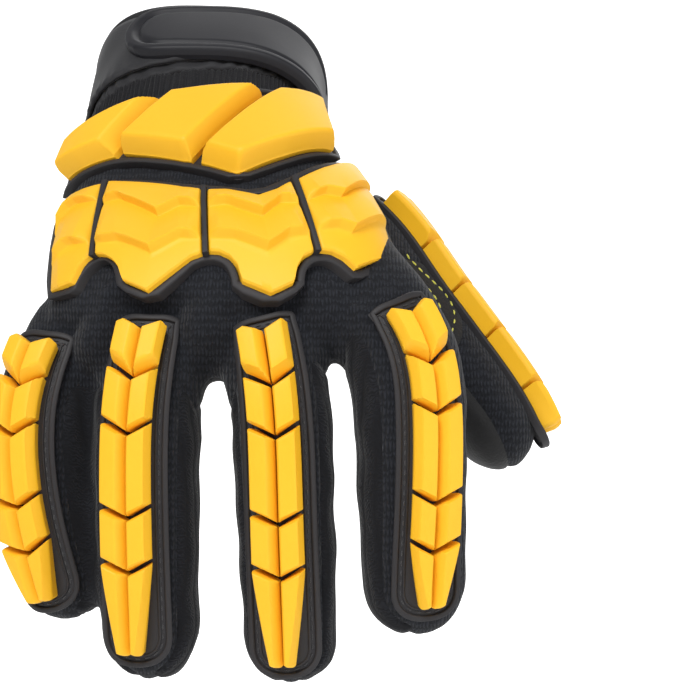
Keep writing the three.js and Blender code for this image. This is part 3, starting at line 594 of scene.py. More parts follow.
def webMesh():
    shell = bmesh.new()
    for name, t, across, rise, radius in webBalls:
        point, _, up, side = frameAt(forms[name], np.array([float(t)]))
        centre = point[0] + side[0] * across + up[0] * rise
        made = bmesh.ops.create_icosphere(shell, subdivisions=3, radius=radius)
        bmesh.ops.translate(shell, verts=made["verts"], vec=Vector(centre))
    hull = bmesh.ops.convex_hull(shell, input=shell.verts)
    bmesh.ops.delete(shell, geom=list(set(hull["geom_interior"] + hull["geom_unused"])), context="VERTS")
    shell.verts.ensure_lookup_table()
    points = np.array([v.co[:] for v in shell.verts])
    faces = [[v.index for v in f.verts] for f in shell.faces]
    shell.free()
    return points, faces


def grownTogether():
    points, faces, count = [], [], 0
    parts = [tubeMesh(form, 44 if name == "hand" else 0) for name, form in forms.items()] + [webMesh()]
    for partPoints, partFaces in parts:
        points.append(partPoints)
        faces += [[k + count for k in face] for face in partFaces]
        count += len(partPoints)
    rough = newObject("rough", np.vstack(points), faces)
    remesh = rough.modifiers.new("remesh", "REMESH")
    remesh.mode = "VOXEL"
    remesh.voxel_size = clothValues["voxel"] * mm
    shaped = rough.evaluated_get(bpy.context.evaluated_depsgraph_get()).to_mesh()
    shaped.calc_loop_triangles()
    verts = np.empty(len(shaped.vertices) * 3)
    shaped.vertices.foreach_get("co", verts)
    triangles = np.empty(len(shaped.loop_triangles) * 3, np.int32)
    shaped.loop_triangles.foreach_get("vertices", triangles)
    bpy.data.objects.remove(rough)
    return verts.reshape(-1, 3) / mm, triangles.reshape(-1, 3)


def edgesOf(triangles):
    pairs = np.sort(np.vstack([triangles[:, [0, 1]], triangles[:, [1, 2]], triangles[:, [2, 0]]]), 1)
    return np.unique(pairs, axis=0)


# Each point moves half way to the mean of its neighbours, as often as asked, weighted by a mask.
def smoothed(points, triangles, times, mask):
    edges = edgesOf(triangles)
    count = np.bincount(edges.ravel(), minlength=len(points))[:, None]
    for _ in range(times):
        total = np.zeros_like(points)
        for axis in range(points.shape[1]):
            total[:, axis] = (np.bincount(edges[:, 0], points[edges[:, 1], axis], len(points))
                              + np.bincount(edges[:, 1], points[edges[:, 0], axis], len(points)))
        points = points + (total / count - points) * 0.5 * mask[:, None]
    return points


def normalsOf(points, triangles):
    a, b, c = points[triangles].transpose(1, 0, 2)
    across = np.cross(b - a, c - a)
    total = np.stack([sum(np.bincount(triangles[:, k], across[:, axis], len(points)) for k in range(3))
                      for axis in range(3)], 1)
    return total / np.maximum(np.linalg.norm(total, axis=1), 1e-9)[:, None]


# Where a point lies on a form: t along it, x and z in its section, and r, which is 1 on the skin.
def localOn(form, points):
    nearest = np.concatenate([
        ((part[:, None] - form["point"][None]) ** 2).sum(-1).argmin(1) for part in np.array_split(points, 12)
    ])
    step = form["length"] / form["steps"]
    t = nearest * step + ((points - form["point"][nearest]) * form["onward"][nearest]).sum(1)
    centre, _, up, side = frameAt(form, t)
    x = ((points - centre) * side).sum(1)
    z = ((points - centre) * up).sum(1)
    half, top, bottom, power = throughRows(form["sections"], t / form["length"]).T
    r = ((np.abs(x) / half) ** power + (np.abs(z) / np.where(z > 0, top, bottom)) ** power) ** (1 / power)
    return {"t": t, "x": x, "z": z, "r": r, "half": half, "top": top, "bottom": bottom, "power": power}


# Height in a section of the place at an angle in degrees
def heightAt(local, degrees):
    s = np.sin(np.radians(degrees))
    return np.where(s > 0, local["top"], local["bottom"]) * np.sign(s) * np.abs(s) ** (2 / local["power"])


# Fields in millimetres whose zero lines are the seams: palm, three side walls, thumb and its patch.
def seamFields(points):
    local = {name: localOn(form, points) for name, form in forms.items()}
    reach = {name: at["r"] + np.maximum(0, 6 - at["t"]) / 8 * (name != "hand") for name, at in local.items()}
    reach["hand"] = reach["hand"] + np.maximum(0, local["hand"]["t"] - handForm["length"]) / 15
    seams = clothValues["seamAngles"]
    bodyForms = ("hand", "index", "middle", "ring", "little")
    closest = np.min([reach[name] for name in bodyForms], 0)
    total, palm = 0, 0
    for name in bodyForms:
        weight = np.exp((closest - reach[name]) * 12)
        palm = palm + weight * (heightAt(local[name], seams.get(name, seams["finger"])) - local[name]["z"])
        total = total + weight
    # the root of the thumb stays whole where it swells over the band
    beyondSkin = (local["hand"]["r"] - 1.05) * 25
    wrist = np.maximum(local["hand"]["t"] - clothValues["wristEdge"], beyondSkin)
    fields = {"wrist": wrist, "palm": palm / total}
    walls = {}
    for name, shape in fingerForms.items():
        at = local[name]
        for wall in shape["walls"]:
            sign = 1 if wall == "right" else -1
            walls[name, wall] = np.min([
                sign * at["x"] - 2, heightAt(at, seams["wallTop"]) - at["z"],
                at["z"] - heightAt(at, seams["wallFoot"]), at["t"] - clothValues["webAt"],
                (closest + 0.16 - reach[name]) * 14,
            ], 0)
    for a, b in (("little", "ring"), ("ring", "middle"), ("middle", "index")):
        fields[f"{a}_{b}"] = np.maximum(walls[a, "right"], walls[b, "left"])
    beside = np.minimum((reach["hand"] - 1.035) * 25, (reach["index"] - 1.05) * 12)
    fields["thumb"] = np.minimum(beside, (1.09 - local["thumb"]["r"]) * 13)
    web = np.min([beside, (local["thumb"]["r"] - 1.09) * 13, (1.7 - local["thumb"]["r"]) * 10], 0)
    saddle = clothValues["saddle"]
    disc = saddle["radius"] - np.hypot(points[:, 0] - saddle["x"], points[:, 2] - saddle["z"])
    fields["patch"] = np.maximum(web, np.minimum(disc, points[:, 1] - saddle["front"]))
    fields["thumbPalm"] = heightAt(local["thumb"], seams["thumb"]) - local["thumb"]["z"]
    fields["crowd"] = np.sort([reach[name] for name in forms], 0)[1]  # how near the second form is
    return fields


# New points where the zero line of a field crosses an edge, and three triangles for each one crossed.
def cutAlong(points, triangles, data, key):
    f = np.where(np.abs(data[key]) < 1e-3, 1e-3, data[key])
    positive = f[triangles] > 0
    count = positive.sum(1)
    mixed = (count == 1) | (count == 2)
    lone = np.where(count == 1, positive.argmax(1), (~positive).argmax(1))[mixed]
    crossed = triangles[mixed]
    rows = np.arange(len(crossed))
    a, b, c = [crossed[rows, (lone + k) % 3] for k in range(3)]
    low = np.minimum(np.r_[a, a], np.r_[b, c]).astype(np.int64)
    high = np.maximum(np.r_[a, a], np.r_[b, c]).astype(np.int64)
    keys, where = np.unique(low * len(points) + high, return_inverse=True)
    low, high = keys // len(points), keys % len(points)
    share = np.clip(f[low] / (f[low] - f[high]), 0.12, 0.88)  # no slivers
    mixedPoints = points[low] * (1 - share[:, None]) + points[high] * share[:, None]
    data = {name: np.r_[f if name == key else values, values[low] * (1 - share) + values[high] * share]
            for name, values in data.items()}
    data[key][len(points):] = 0
    p, q = where[:len(rows)] + len(points), where[len(rows):] + len(points)
    pieces = [triangles[~mixed], np.stack([a, p, q], 1), np.stack([p, b, c], 1), np.stack([p, c, q], 1)]
    return np.vstack([points, mixedPoints]), np.vstack(pieces), data


# Distance along the mesh to the nearest seam, up to a few millimetres
def seamDistance(points, triangles, label):
    low, high = np.full(len(points), 99), np.full(len(points), -1)
    for k in range(3):
        np.minimum.at(low, triangles[:, k], label)
        np.maximum.at(high, triangles[:, k], label)
    distance = np.where(low != high, 0.0, 9.0)
    edges = edgesOf(triangles)
    length = np.linalg.norm(points[edges[:, 0]] - points[edges[:, 1]], axis=1)
    for _ in range(7):
        np.minimum.at(distance, edges[:, 1], distance[edges[:, 0]] + length)
        np.minimum.at(distance, edges[:, 0], distance[edges[:, 1]] + length)
    return distance


panels = [
    ("backCloth", "back_panel", "knit"),
    ("palmLeather", "palm_panel", "leather"),
    ("littleRingWall", "fork_wall_little_ring", "twill"),
    ("ringMiddleWall", "fork_wall_ring_middle", "twill"),
    ("middleIndexWall", "fork_wall_middle_index", "twill"),
    ("thumbBack", "thumb_back", "knit"),
    ("thumbPalm", "thumb_palm", "leather"),
    ("thumbPatch", "thumb_patch", "leather"),
]
panelLooks = {
    "knit": (knitCloth, "back_knit"), "leather": (leather, "palm_leather"),
    "twill": (twillCloth, "finger_twill"),
}


# Cloth that bulges over a guard's place is drawn down to the skin of the guard's own form,
# fading at its edges.
def pressedUnderGuards(points):
    rows = [(name, shape["ends"][0] - 3, shape["length"] + 9, 9.4) for name, shape in fingerForms.items()]
    rows.append(("hand", 54, 129, 42))
    for name, start, end, half in rows:
        at = localOn(forms[name], points)
        fade = np.clip((half + 3 - np.abs(at["x"])) / 3, 0, 1) * np.clip((at["t"] - start) / 3 + 1, 0, 1)
        fade = fade * np.clip((end - at["t"]) / 3 + 1, 0, 1) * (at["z"] > 0) * (at["r"] < 2)
        over = fade * np.clip(1 - 0.995 / at["r"], 0, 1)
        centre, _, up, side = frameAt(forms[name], at["t"])
        points = points - (side * at["x"][:, None] + up * at["z"][:, None]) * over[:, None]
    return points


# Soft waves of the cloth: a few slow sines added up, in millimetres
def clothWaves(points):
    x, y, z = points.T
    return (0.28 * np.sin(x * 0.21 + z * 0.16) * np.sin(y * 0.19 - z * 0.11)
            + 0.16 * np.sin(z * 0.42 + x * 0.13)
            + 0.12 * np.sin(x * 0.55 - y * 0.37 + z * 0.23))


def makeCloths():
    points, triangles = grownTogether()
    points = smoothed(points, triangles, clothValues["smoothing"], np.ones(len(points)))
    crowd = seamFields(points)["crowd"]
    points = smoothed(points, triangles, clothValues["webSmoothing"], np.clip((1.5 - crowd) / 0.35, 0, 1))
    points = pressedUnderGuards(points)
    data = seamFields(points)
    smooth = smoothed(np.stack(list(data.values()), 1), triangles, 10, np.ones(len(points)))
    data = {key: smooth[:, k] for k, key in enumerate(data)}
    for key in ("wrist", "thumb", "patch", "thumbPalm", "little_ring", "ring_middle", "middle_index", "palm"):
        points, triangles, data = cutAlong(points, triangles, data, key)
    inside = {key: values[triangles].mean(1) > 0 for key, values in data.items()}
    label = np.where(inside["palm"], 1, 0)
    for number, key in ((2, "little_ring"), (3, "ring_middle"), (4, "middle_index")):
        label = np.where(inside[key], number, label)
    label = np.where(inside["thumb"], np.where(inside["thumbPalm"], 6, 5), label)
    label = np.where(inside["patch"], 7, label)
    triangles, label = triangles[inside["wrist"]], label[inside["wrist"]]
    distance = seamDistance(points, triangles, label)
    normals = normalsOf(points, triangles)
    valley = clothValues["seamDepth"] * np.exp(-(distance / clothValues["seamWidth"]) ** 2)
    points = points + normals * (clothWaves(points) * np.clip(distance / 4, 0, 1) - valley)[:, None]
    for number, (name, node, look) in enumerate(panels):
        used, own = np.unique(triangles[label == number], return_inverse=True)
        material, slot = panelLooks[look]
        shell = shellMesh(points[used], own.reshape(-1, 3), normals[used], clothValues["wall"])
        piece = newPiece(name, *shell, material, slot, [node], sharp=70)
        print("cloth panel:", name, len(piece.data.polygons))
    return BVHTree.FromPolygons((points * mm).tolist(), triangles.tolist())


clothTree = makeCloths()


# Wrist: rolled edge, cuff, gathered band, strap and its moulded end

wristValues = {"bindingWidth": 3.4, "bindingRadius": 2.3, "cuffEnd": 41, "cuffWall": 3, "gatherEnd": 53,
               "strapStart": 8, "strapEnd": 38, "strapWall": 1.5, "sides": 240, "ribSides": 1024, "ribs": 128}


# A ring wall: profile points (t, out) closed on themselves and carried round the form,
# pushed out by a function.
def ringWall(form, profile, sides, push=None):
    profile = np.asarray(profile, float)
    angle = np.linspace(0, 2 * np.pi, sides, endpoint=False)[None, :]
    t = np.broadcast_to(profile[:, :1], (len(profile), sides))
    out = np.broadcast_to(profile[:, 1:2], (len(profile), sides))
    if push:
        out = out + push(angle, t) * profile[:, 2:3]
    return ringMesh(onSkin(form, t, np.broadcast_to(angle, t.shape), out))


# A band's profile: the outer face in steps, the inner face back. Its third column says how much it is pushed.
def bandProfile(start, end, top, wall, rows=12, edge=0.6):
    across = np.linspace(start + edge, end - edge, rows)
    outer = np.stack([across, np.full(rows, top), np.ones(rows)], 1)
    inner = np.array([[end, top - wall + edge, 0], [end - edge, top - wall, 0], [start + edge, top - wall, 0],
                      [start, top - wall + edge, 0]])
    return np.vstack([[start, top - edge, 0.4], outer, [end, top - edge, 0.4], inner])


def makeWrist():
    v = wristValues
    turn = np.linspace(0, 2 * np.pi, 14, endpoint=False)
    roll = np.stack([1.7 + v["bindingWidth"] / 2 * np.cos(turn), -1.4 + v["bindingRadius"] * np.sin(turn),
                     np.zeros(14)], 1)
    newPiece("rolledEdge", *ringWall(hand, roll, v["sides"]), bindingHide, "cuff_neoprene", ["cuff_binding"])

    def soften(angle, t):  # slow dents and small puckers near both ends
        puckers = np.exp(-((t - v["cuffEnd"]) / 5) ** 2) * 0.35 * np.sin(angle * 38 + 2 * np.sin(angle * 5))
        return 0.3 * np.sin(angle * 3 + t * 0.11) + 0.2 * np.sin(angle * 7 - t * 0.23) + puckers

    cuff = bandProfile(v["bindingWidth"], v["cuffEnd"], 0, v["cuffWall"], rows=30)
    newPiece("cuffSleeve", *ringWall(hand, cuff, v["sides"], soften), neoprene, "cuff_neoprene", ["cuff"])

    def gather(angle, t):  # upright ribs, closer folds at the upper edge
        ribs = 0.28 * np.cos(angle * v["ribs"] + 1.2 * np.sin(angle * 4))
        folds = 0.3 * np.sin(angle * 23 + 3 * np.sin(angle * 3)) * np.exp(-((t - v["cuffEnd"]) / 5) ** 2)
        return ribs + folds

    band = bandProfile(v["cuffEnd"] - 1, v["gatherEnd"], -0.7, 2, rows=12)
    newPiece("gatheredBand", *ringWall(hand, band, v["ribSides"], gather), ribbingCloth, "elastic_rib",
             ["gather_band"])
    wall = v["strapWall"]
    strap = bandProfile(v["strapStart"], v["strapEnd"], 0.3 + wall, wall, rows=16, edge=0.5)
    newPiece("wristStrap", *ringWall(hand, strap, v["sides"], soften), neoprene, "strap_web", ["strap"])
    print("wrist ready")


makeWrist()

tabValues = {
    # w round the wrist, then its upper and lower edge
    "edges": [(-19.4, 22.6, 23.6), (-19, 19.6, 26.8), (-17.9, 16.4, 30), (-16, 13.6, 32.9),
              (-13.8, 11.8, 34.9), (-11, 10.9, 36.3), (-6, 10.6, 37.4), (6, 10.8, 39.4), (18, 11.6, 41.4),
              (30, 13.5, 43.6), (40, 15, 44.5), (46, 16, 44.5)],
    # distance from the outline, height above the foot
    "profile": ([0, 0.25, 0.7, 1.2, 2.6, 3.1, 3.5, 4.2, 4.6, 5.2, 40],
                [0.4, 1.9, 2.7, 3.0, 3.0, 2.7, 1.9, 1.9, 2.4, 2.7, 2.7]),
    "foot": 1.9,
}


def makeTab():
    edges = np.array(tabValues["edges"])
    w = np.unique(np.r_[np.linspace(edges[0, 0], -14, 26), np.linspace(-14, 46, 96)])
    top, bottom = [np.interp(w, edges[:, 0], edges[:, k]) for k in (1, 2)]
    outline = np.vstack([np.stack([w, top], 1), np.stack([w, bottom], 1)[::-1], [[w[0], top[0]]]])
    v = np.unique(np.r_[np.linspace(0, 0.22, 20), np.linspace(0.22, 0.78, 12), np.linspace(0.78, 1, 20)])
    gridW = np.broadcast_to(w[None, :], (len(v), len(w)))
    gridT = top[None, :] + (bottom - top)[None, :] * v[:, None]
    distance = distanceTo(outline, gridW, gridT)
    height = softProfile(distance, *tabValues["profile"], 0.2)
    topGrid = onBack(hand, gridW, gridT, tabValues["foot"] + height)
    footGrid = onBack(hand, gridW, gridT, tabValues["foot"] - 0.6)
    newPiece("pullTab", *padMesh(topGrid, footGrid), tabRubber, "tab_rubber", ["pull_tab"], sharp=50)
    print("pull tab ready")


makeTab()


# Guards: a dark base with a rim, and yellow blocks on it

guardValues = {"floor": 1.1, "blockFoot": 0.7, "pieceTop": 2.1}


# Rows of (distance in from the outline, lift): a flat-topped outer lip of a width and a height
def liftedLip(width, height):
    return [(0, -0.5), (0, height - 0.4), (0.08, height - 0.13), (0.28, height), (width - 0.28, height),
            (width - 0.08, height - 0.13), (width, height - 0.4), (width, 0.2)]


# The floor of a base: a thin slab over a mapped grid, a little inside its outline.
def slabMesh(form, w, t, lift):
    return padMesh(onBack(form, w, t, lift), onBack(form, w, t, -0.2))


# A base whose upper and lower edges are given over w, with a lip round it.
def makeBase(name, form, top, bottom, node, spacing, lip, channels=()):
    top, bottom = np.array(top, float), np.array(bottom, float)
    corners = np.vstack([top, bottom[::-1]])
    outline = resampled(cornersCut(corners, 1), spacing)
    inner = np.linspace(0.012, 0.988, 90)
    span = [max(top[0, 0], bottom[0, 0]), min(top[-1, 0], bottom[-1, 0])]
    w = span[0] + (span[1] - span[0]) * inner
    upper = np.interp(w, top[:, 0], top[:, 1]) + 0.9
    lower = np.interp(w, bottom[:, 0], bottom[:, 1]) - 0.9
    share = np.linspace(0, 1, 30)[:, None]
    gridT = upper[None, :] + (lower - upper)[None, :] * share
    gridW = np.broadcast_to(w[None, :], gridT.shape)
    parts = [rimMesh(form, outline, lip), slabMesh(form, gridW, gridT, guardValues["floor"])]
    for left, right, height in channels:  # a raised strip between two blocks
        down = np.linspace(0, 1, 60)[:, None]
        side = np.array([0, 0.12, 0.5, 0.88, 1])[None, :, None]
        ends = np.array([left, right], float)
        leftLine, rightLine = (ends[:, :1] * (1 - down) + ends[:, 1:] * down)[:, :, None]
        place = leftLine * (1 - side) + rightLine * side
        lift = height - 0.35 * (np.abs(side[..., 0] - 0.5) > 0.45)
        parts.append(padMesh(onBack(form, place[..., 0], place[..., 1], lift),
                             onBack(form, place[..., 0], place[..., 1], 0.2)))
    newPiece(name, *joined(parts), darkRubber, "dark_rubber", [node], sharp=60)


wristGuard = {
    "top": [(-41, 56.5), (-35.5, 55.5), (-26, 55), (-8, 55), (12.8, 55), (24, 54.4), (33, 53.6), (38, 53.2),
            (41.5, 54)],
    "bottom": [(-41, 69.6), (-35.5, 71.4), (-26, 73.8), (-17.5, 76.2), (-8, 81.2), (2.4, 87.8), (12.8, 96.2),
               (24, 92), (33, 86.2), (38, 82.8), (41.5, 80)],
    # each bar: lines from its upper edge to its lower one, from left to right
    "bars": [
        [[(-30, 60.6), (-34.8, 68.6)], [(-21, 60), (-28, 71.2)], [(-5.6, 58.6), (-18.7, 73.8)]],
        [[(-2.8, 59.2), (-16.3, 73.9)], [(8, 59.8), (-7.2, 79.6)], [(19.2, 60.2), (1.2, 85.2)]],
        [[(21.6, 61.4), (3.8, 86.6)], [(26.6, 59.6), (12.7, 94.2)], [(31, 57.8), (25, 88)],
         [(35.4, 56.4), (37.8, 79.6)]],
    ],
    "height": 5.4, "lip": liftedLip(1.6, 2.1), "endSide": ([0, 0.3, 3.6, 60], [0.05, 0.2, 1, 1]),
    # height share over the distance from each side, in millimetres
    "upperSide": ([0, 0.3, 1.1, 60], [0.5, 0.72, 1, 1]), "lowerSide": ([0, 0.3, 2.6, 60], [0.02, 0.12, 1, 1]),
    "leftSide": ([0, 0.3, 0.9, 60], [0.55, 0.8, 1, 1]), "rightSide": ([0, 0.3, 2.7, 60], [0.1, 0.25, 1, 1]),
}


# Lift of a pad: its height times the smallest of the profiles from its four sides.
def padLift(height, profiles, distances, reach=0.22):
    shares = [softProfile(distance, *profile, reach) for profile, distance in zip(profiles, distances)]
    return guardValues["pieceTop"] + height * np.min(shares, 0), np.min(shares, 0)


# Places 0 to 1 that crowd towards both ends
def crowded(count, power=1.7):
    s = np.linspace(-1, 1, count)
    return 0.5 + 0.5 * np.sign(s) * (1 - (1 - np.abs(s)) ** power)


def makeWristGuard():
    g = wristGuard
    makeBase("wristBase", hand, g["top"], g["bottom"], "wrist_plate", 0.8, g["lip"])
    for number, bar in enumerate(g["bars"], 1):
        lines = np.array(bar, float)
        places = np.linspace(0, 1, len(lines))
        u, v = crowded(56), crowded(44)
        upper = np.stack([np.interp(u, places, lines[:, 0, k]) for k in (0, 1)], 1)
        lower = np.stack([np.interp(u, places, lines[:, 1, k]) for k in (0, 1)], 1)
        grid = upper[None] + (lower - upper)[None] * v[:, None, None]
        w, t = grid[..., 0], grid[..., 1]
        sides = [resampledOpen(line) for line in (upper, lower, grid[:, 0], grid[:, -1])]
        distances = [distanceTo(side, w, t) for side in sides]
        rightSide = g["endSide" if number == 3 else "rightSide"]
        profiles = [g["upperSide"], g["lowerSide"], g["leftSide"], rightSide]
        lift, share = padLift(g["height"], profiles, distances)
        foot = onBack(hand, w, t, guardValues["blockFoot"])
        top = onBack(hand, w, t, lift)
        piece = newPiece(f"wristBar{number}", *padMesh(top, foot), yellowRubber, "yellow_rubber",
                         [f"wrist_bar_{number}"], sharp=55)
        pointMask(piece, "grain", np.r_[np.clip(share * 6 - 5, 0, 1).ravel() * 0.35, np.zeros(share.size)])
    print("wrist guard ready")


def resampledOpen(line, count=40):
    along = np.r_[0, np.cumsum(np.hypot(*np.diff(line, axis=0).T))]
    at = np.linspace(0, along[-1], count)
    return np.stack([np.interp(at, along, line[:, k]) for k in (0, 1)], 1)


makeWristGuard()

knuckleGuard = {
    "top": [(-40.5, 84.4), (-37, 80.6), (-31.2, 79.6), (-28, 80.2), (-22.8, 81.6), (-19.9, 82.6),
            (-12.2, 86.8), (-3.4, 92), (3.6, 95.8), (7.8, 97.4), (16.8, 101.6), (24.8, 98), (29.4, 94.2),
            (37.2, 87.6), (44, 81), (47.4, 80.4), (54, 114.8)],
    "bottom": [(-40.5, 114.8), (-37, 116.6), (-31.4, 117.8), (-29.6, 114.4), (-27.8, 112.2), (-25.2, 110.9),
               (-23, 111.2), (-21.2, 113), (-20.3, 116), (-20.1, 120.9), (-12.2, 126), (-3.6, 120.6),
               (-1.6, 119), (1.4, 118), (4.4, 118.4), (6.6, 120), (7.6, 122.4), (7.8, 126), (16.8, 130.4),
               (24.8, 127), (25.2, 124), (26.6, 121.8), (29.2, 120.8), (32, 121.2), (34.4, 122.8),
               (37.2, 125.2), (44, 121.8), (54, 116.6)],
    "height": 5.6,
    # for each section: w at its upper and lower end,
    # then the t of its top, first and second step and lower edge
    "sections": [
        [(-36.5, -38, 84.5, 91, 103.5, 114), (-33, -34.5, 82.6, 88.6, 102.8, 115.4),
         (-29.5, -30.8, 82, 87, 102.2, 115.8), (-27.2, -29.4, 82.6, 87.2, 102.6, 113.6),
         (-25.6, -28.2, 83, 88, 103.4, 111.6), (-23.4, -26.8, 83.8, 89.2, 104.2, 110.3),
         (-20.9, -25.3, 84.7, 90.4, 105, 109.8)],
        [(-19.2, -24, 84.9, 92.4, 105.9, 109.9), (-17.2, -21.8, 86.1, 92.8, 106.8, 111.1),
         (-15.6, -19.6, 87.2, 93.2, 107.6, 113.6), (-14.6, -18.3, 87.8, 94, 108, 116.4),
         (-14, -17.7, 88.2, 95, 108.6, 120), (-4.6, -12.2, 94, 103.9, 114.1, 124),
         (-1.2, -3.4, 96.2, 102.2, 111.7, 118.9), (0.8, -1.2, 97.4, 103, 112.2, 117.7),
         (3.4, 1.5, 98.8, 104.2, 113, 117.1)],
        [(5, 3.2, 99.6, 104.6, 113.3, 116.9), (7.2, 5.6, 100.2, 104.7, 113.6, 117.5),
         (9, 7.9, 100.7, 104.9, 114.1, 119.1), (10.2, 9.5, 101.2, 105.6, 114.5, 121.6),
         (10.9, 10.1, 101.6, 106.2, 114.9, 125.1), (16.6, 16.5, 104.4, 109.7, 118.3, 128.4),
         (20.9, 22, 103.2, 106.6, 115.4, 126.4), (21.6, 23, 102.8, 106.6, 115.4, 123.2),
         (22.8, 24.8, 102, 106.8, 115.3, 120.8), (24.6, 27.4, 101, 107, 115.3, 119.5)],
        [(26.2, 28.9, 100.4, 106.6, 114.1, 119.3), (28.4, 31.8, 98.6, 105.4, 113.6, 119.6),
         (30.4, 34.4, 97, 104.4, 113.3, 120.9), (34.8, 36.8, 93, 104.6, 114.1, 123),
         (41, 44, 86, 97, 109, 119.2), (45, 51.4, 83.4, 91.8, 105.2, 115)],
    ],
    # place down the block in stops (0 top, 1 and 2 the steps, 3 the lower edge) plus millimetres,
    # then its share of the height
    "treads": [(0, 0, 0.16), (0, 0.15, 0.36), (0, 0.5, 0.42), (1, -0.1, 0.8), (1, 0.08, 0.76),
               (1, 0.85, 0.4), (1, 1.0, 0.38), (2, -0.1, 0.88), (2, 0.08, 0.84), (2, 0.95, 0.44),
               (2, 1.1, 0.42), (3, -0.5, 0.38), (3, -0.12, 0.3), (3, 0, 0.1)],
    "sideEdge": ([0, 0.2, 0.5, 60], [0.7, 0.92, 1, 1]), "leftEdge": ([0, 0.3, 4, 60], [0.2, 0.42, 1, 1]),
    # near the side edges the steps fade down to one level, over a wider stretch on the guard's outer sides
    "calmEdge": ([0, 0.4, 2.4, 60], [0.1, 0.25, 1, 1]), "edgeLevel": 0.43, "outerCalm": 0.35,
    "lip": liftedLip(1.9, 2.5),
    # strips between the blocks: left and right side, each from its upper to its lower end, and their lift
    "channels": [([(-20.75, 84), (-25.1, 110.2)], [(-19.35, 84.6), (-24.1, 110.4)], 4.6),
                 ([(3.55, 98), (1.65, 117.4)], [(4.85, 98.6), (3.05, 117.4)], 4.6),
                 ([(24.75, 99.6), (27.5, 119.6)], [(26.05, 98.8), (28.8, 119.6)], 4.6)],
}


def makeKnuckleGuard():
    g = knuckleGuard
    makeBase("knuckleBase", hand, g["top"], g["bottom"], "knuckle_plate", 0.6, g["lip"], g["channels"])
    for number, section in enumerate(g["sections"], 1):
        table = np.array(section, float)
        middle = (table[:, 0] + table[:, 1]) / 2
        u = crowded(72, 1.35)
        at = middle[0] + (middle[-1] - middle[0]) * u
        fromW, toW, *stops = [np.interp(at, middle, table[:, k]) for k in range(6)]
        stops = np.array(stops)
        tread = np.array(g["treads"])
        knots = np.array([stops[int(stop)] + add for stop, add, _ in tread])  # t of each tread row
        rows = np.linspace(0, len(tread) - 1, (len(tread) - 1) * 5 + 1)
        below = np.minimum(rows.astype(int), len(tread) - 2)
        share = (rows - below)[:, None]
        t = knots[below] * (1 - share) + knots[below + 1] * share
        level = (tread[below, 2] * (1 - share[:, 0]) + tread[below + 1, 2] * share[:, 0])[:, None]
        # the lowest row is cut like a gem: a peak in each half and flat facets down to the outline
        w = fromW + (toW - fromW) * (t - stops[0]) / (stops[3] - stops[0])
        fromLeft, fromRight = w - w[:, :1], w[:, -1:] - w
        sides = np.minimum(softProfile(fromLeft, *g["leftEdge" if number == 1 else "sideEdge"], 0.1),
                           softProfile(fromRight, *g["sideEdge"], 0.1))
        inward = np.minimum(fromLeft * (g["outerCalm"] if number == 1 else 1),
                            fromRight * (g["outerCalm"] if number == 4 else 1))
        calm = softProfile(inward, *g["calmEdge"], 0.1)
        level = np.minimum(level, g["edgeLevel"] + (level - g["edgeLevel"]) * calm)
        down = np.clip((t - stops[2] - 1.05) / np.maximum(stops[3] - stops[2] - 1.05, 0.1), 0, 1)
        peaks = np.minimum(1, 4 * np.abs(((u * 2) % 1) * 0.5 - 0.25))
        gem = 1 + 0.6 * (1 - peaks)[None, :] * (1 - np.abs(down * 2 - 0.7) / 1.3) * (rows >= 50)[:, None]
        lift = guardValues["pieceTop"] + g["height"] * level * gem * sides
        foot = onBack(hand, w, t, guardValues["blockFoot"])
        points, faces = padMesh(onBack(hand, w, t, lift), foot)
        piece = newPiece(f"knuckleBlock{number}", points, faces, yellowRubber, "yellow_rubber",
                         [f"knuckle_block_{number}"], sharp=40)
        pointMask(piece, "grain", np.r_[np.full(w.size, 0.3), np.zeros(w.size)])
    print("knuckle guard ready")


makeKnuckleGuard()

fingerGuard = {
    "half": {"index": 4.5, "middle": 4.65, "ring": 4.65, "little": 4.65, "thumb": 5.4},
    "plateHalf": {"index": 8.4, "middle": 8.6, "ring": 8.6, "little": 8.6, "thumb": 7.4},
    "plateStart": 1.6, "plateEnd": 3.4, "height": 4.6, "spacing": 1.1, "chevron": 3,
    "lip": liftedLip(1.4, 1.55),
    "innerLip": [(2.5, 0.2), (2.45, 0.9), (2.6, 1.15), (2.95, 1.15), (3.1, 0.9), (3.15, 0.2)],
    "split": 0.16,  # half of the gap between the two halves of a block
    # height share over millimetres from each side of a half: steep on one, a wide bevel on the other
    "steepSide": ([0, 0.12, 0.4, 60], [0.66, 0.9, 1, 1]), "wideSide": ([0, 0.1, 1.45, 60], [0.4, 0.5, 1, 1]),
    "wideLeft": ["index"],  # fingers whose wide bevels lie on the left
    "upperEnd": ([0, 0.15, 0.5, 60], [0.5, 0.85, 1, 1]), "lowerEnd": ([0, 0.15, 0.7, 60], [0.42, 0.66, 1, 1]),
    "firstLowerEnd": ([0, 0.15, 2.2, 60], [0.3, 0.42, 1, 1]),
    "stitchEvery": 2.3, "stitchLength": 1.5, "stitchRadius": 0.2, "stitchInset": 2.1,
}


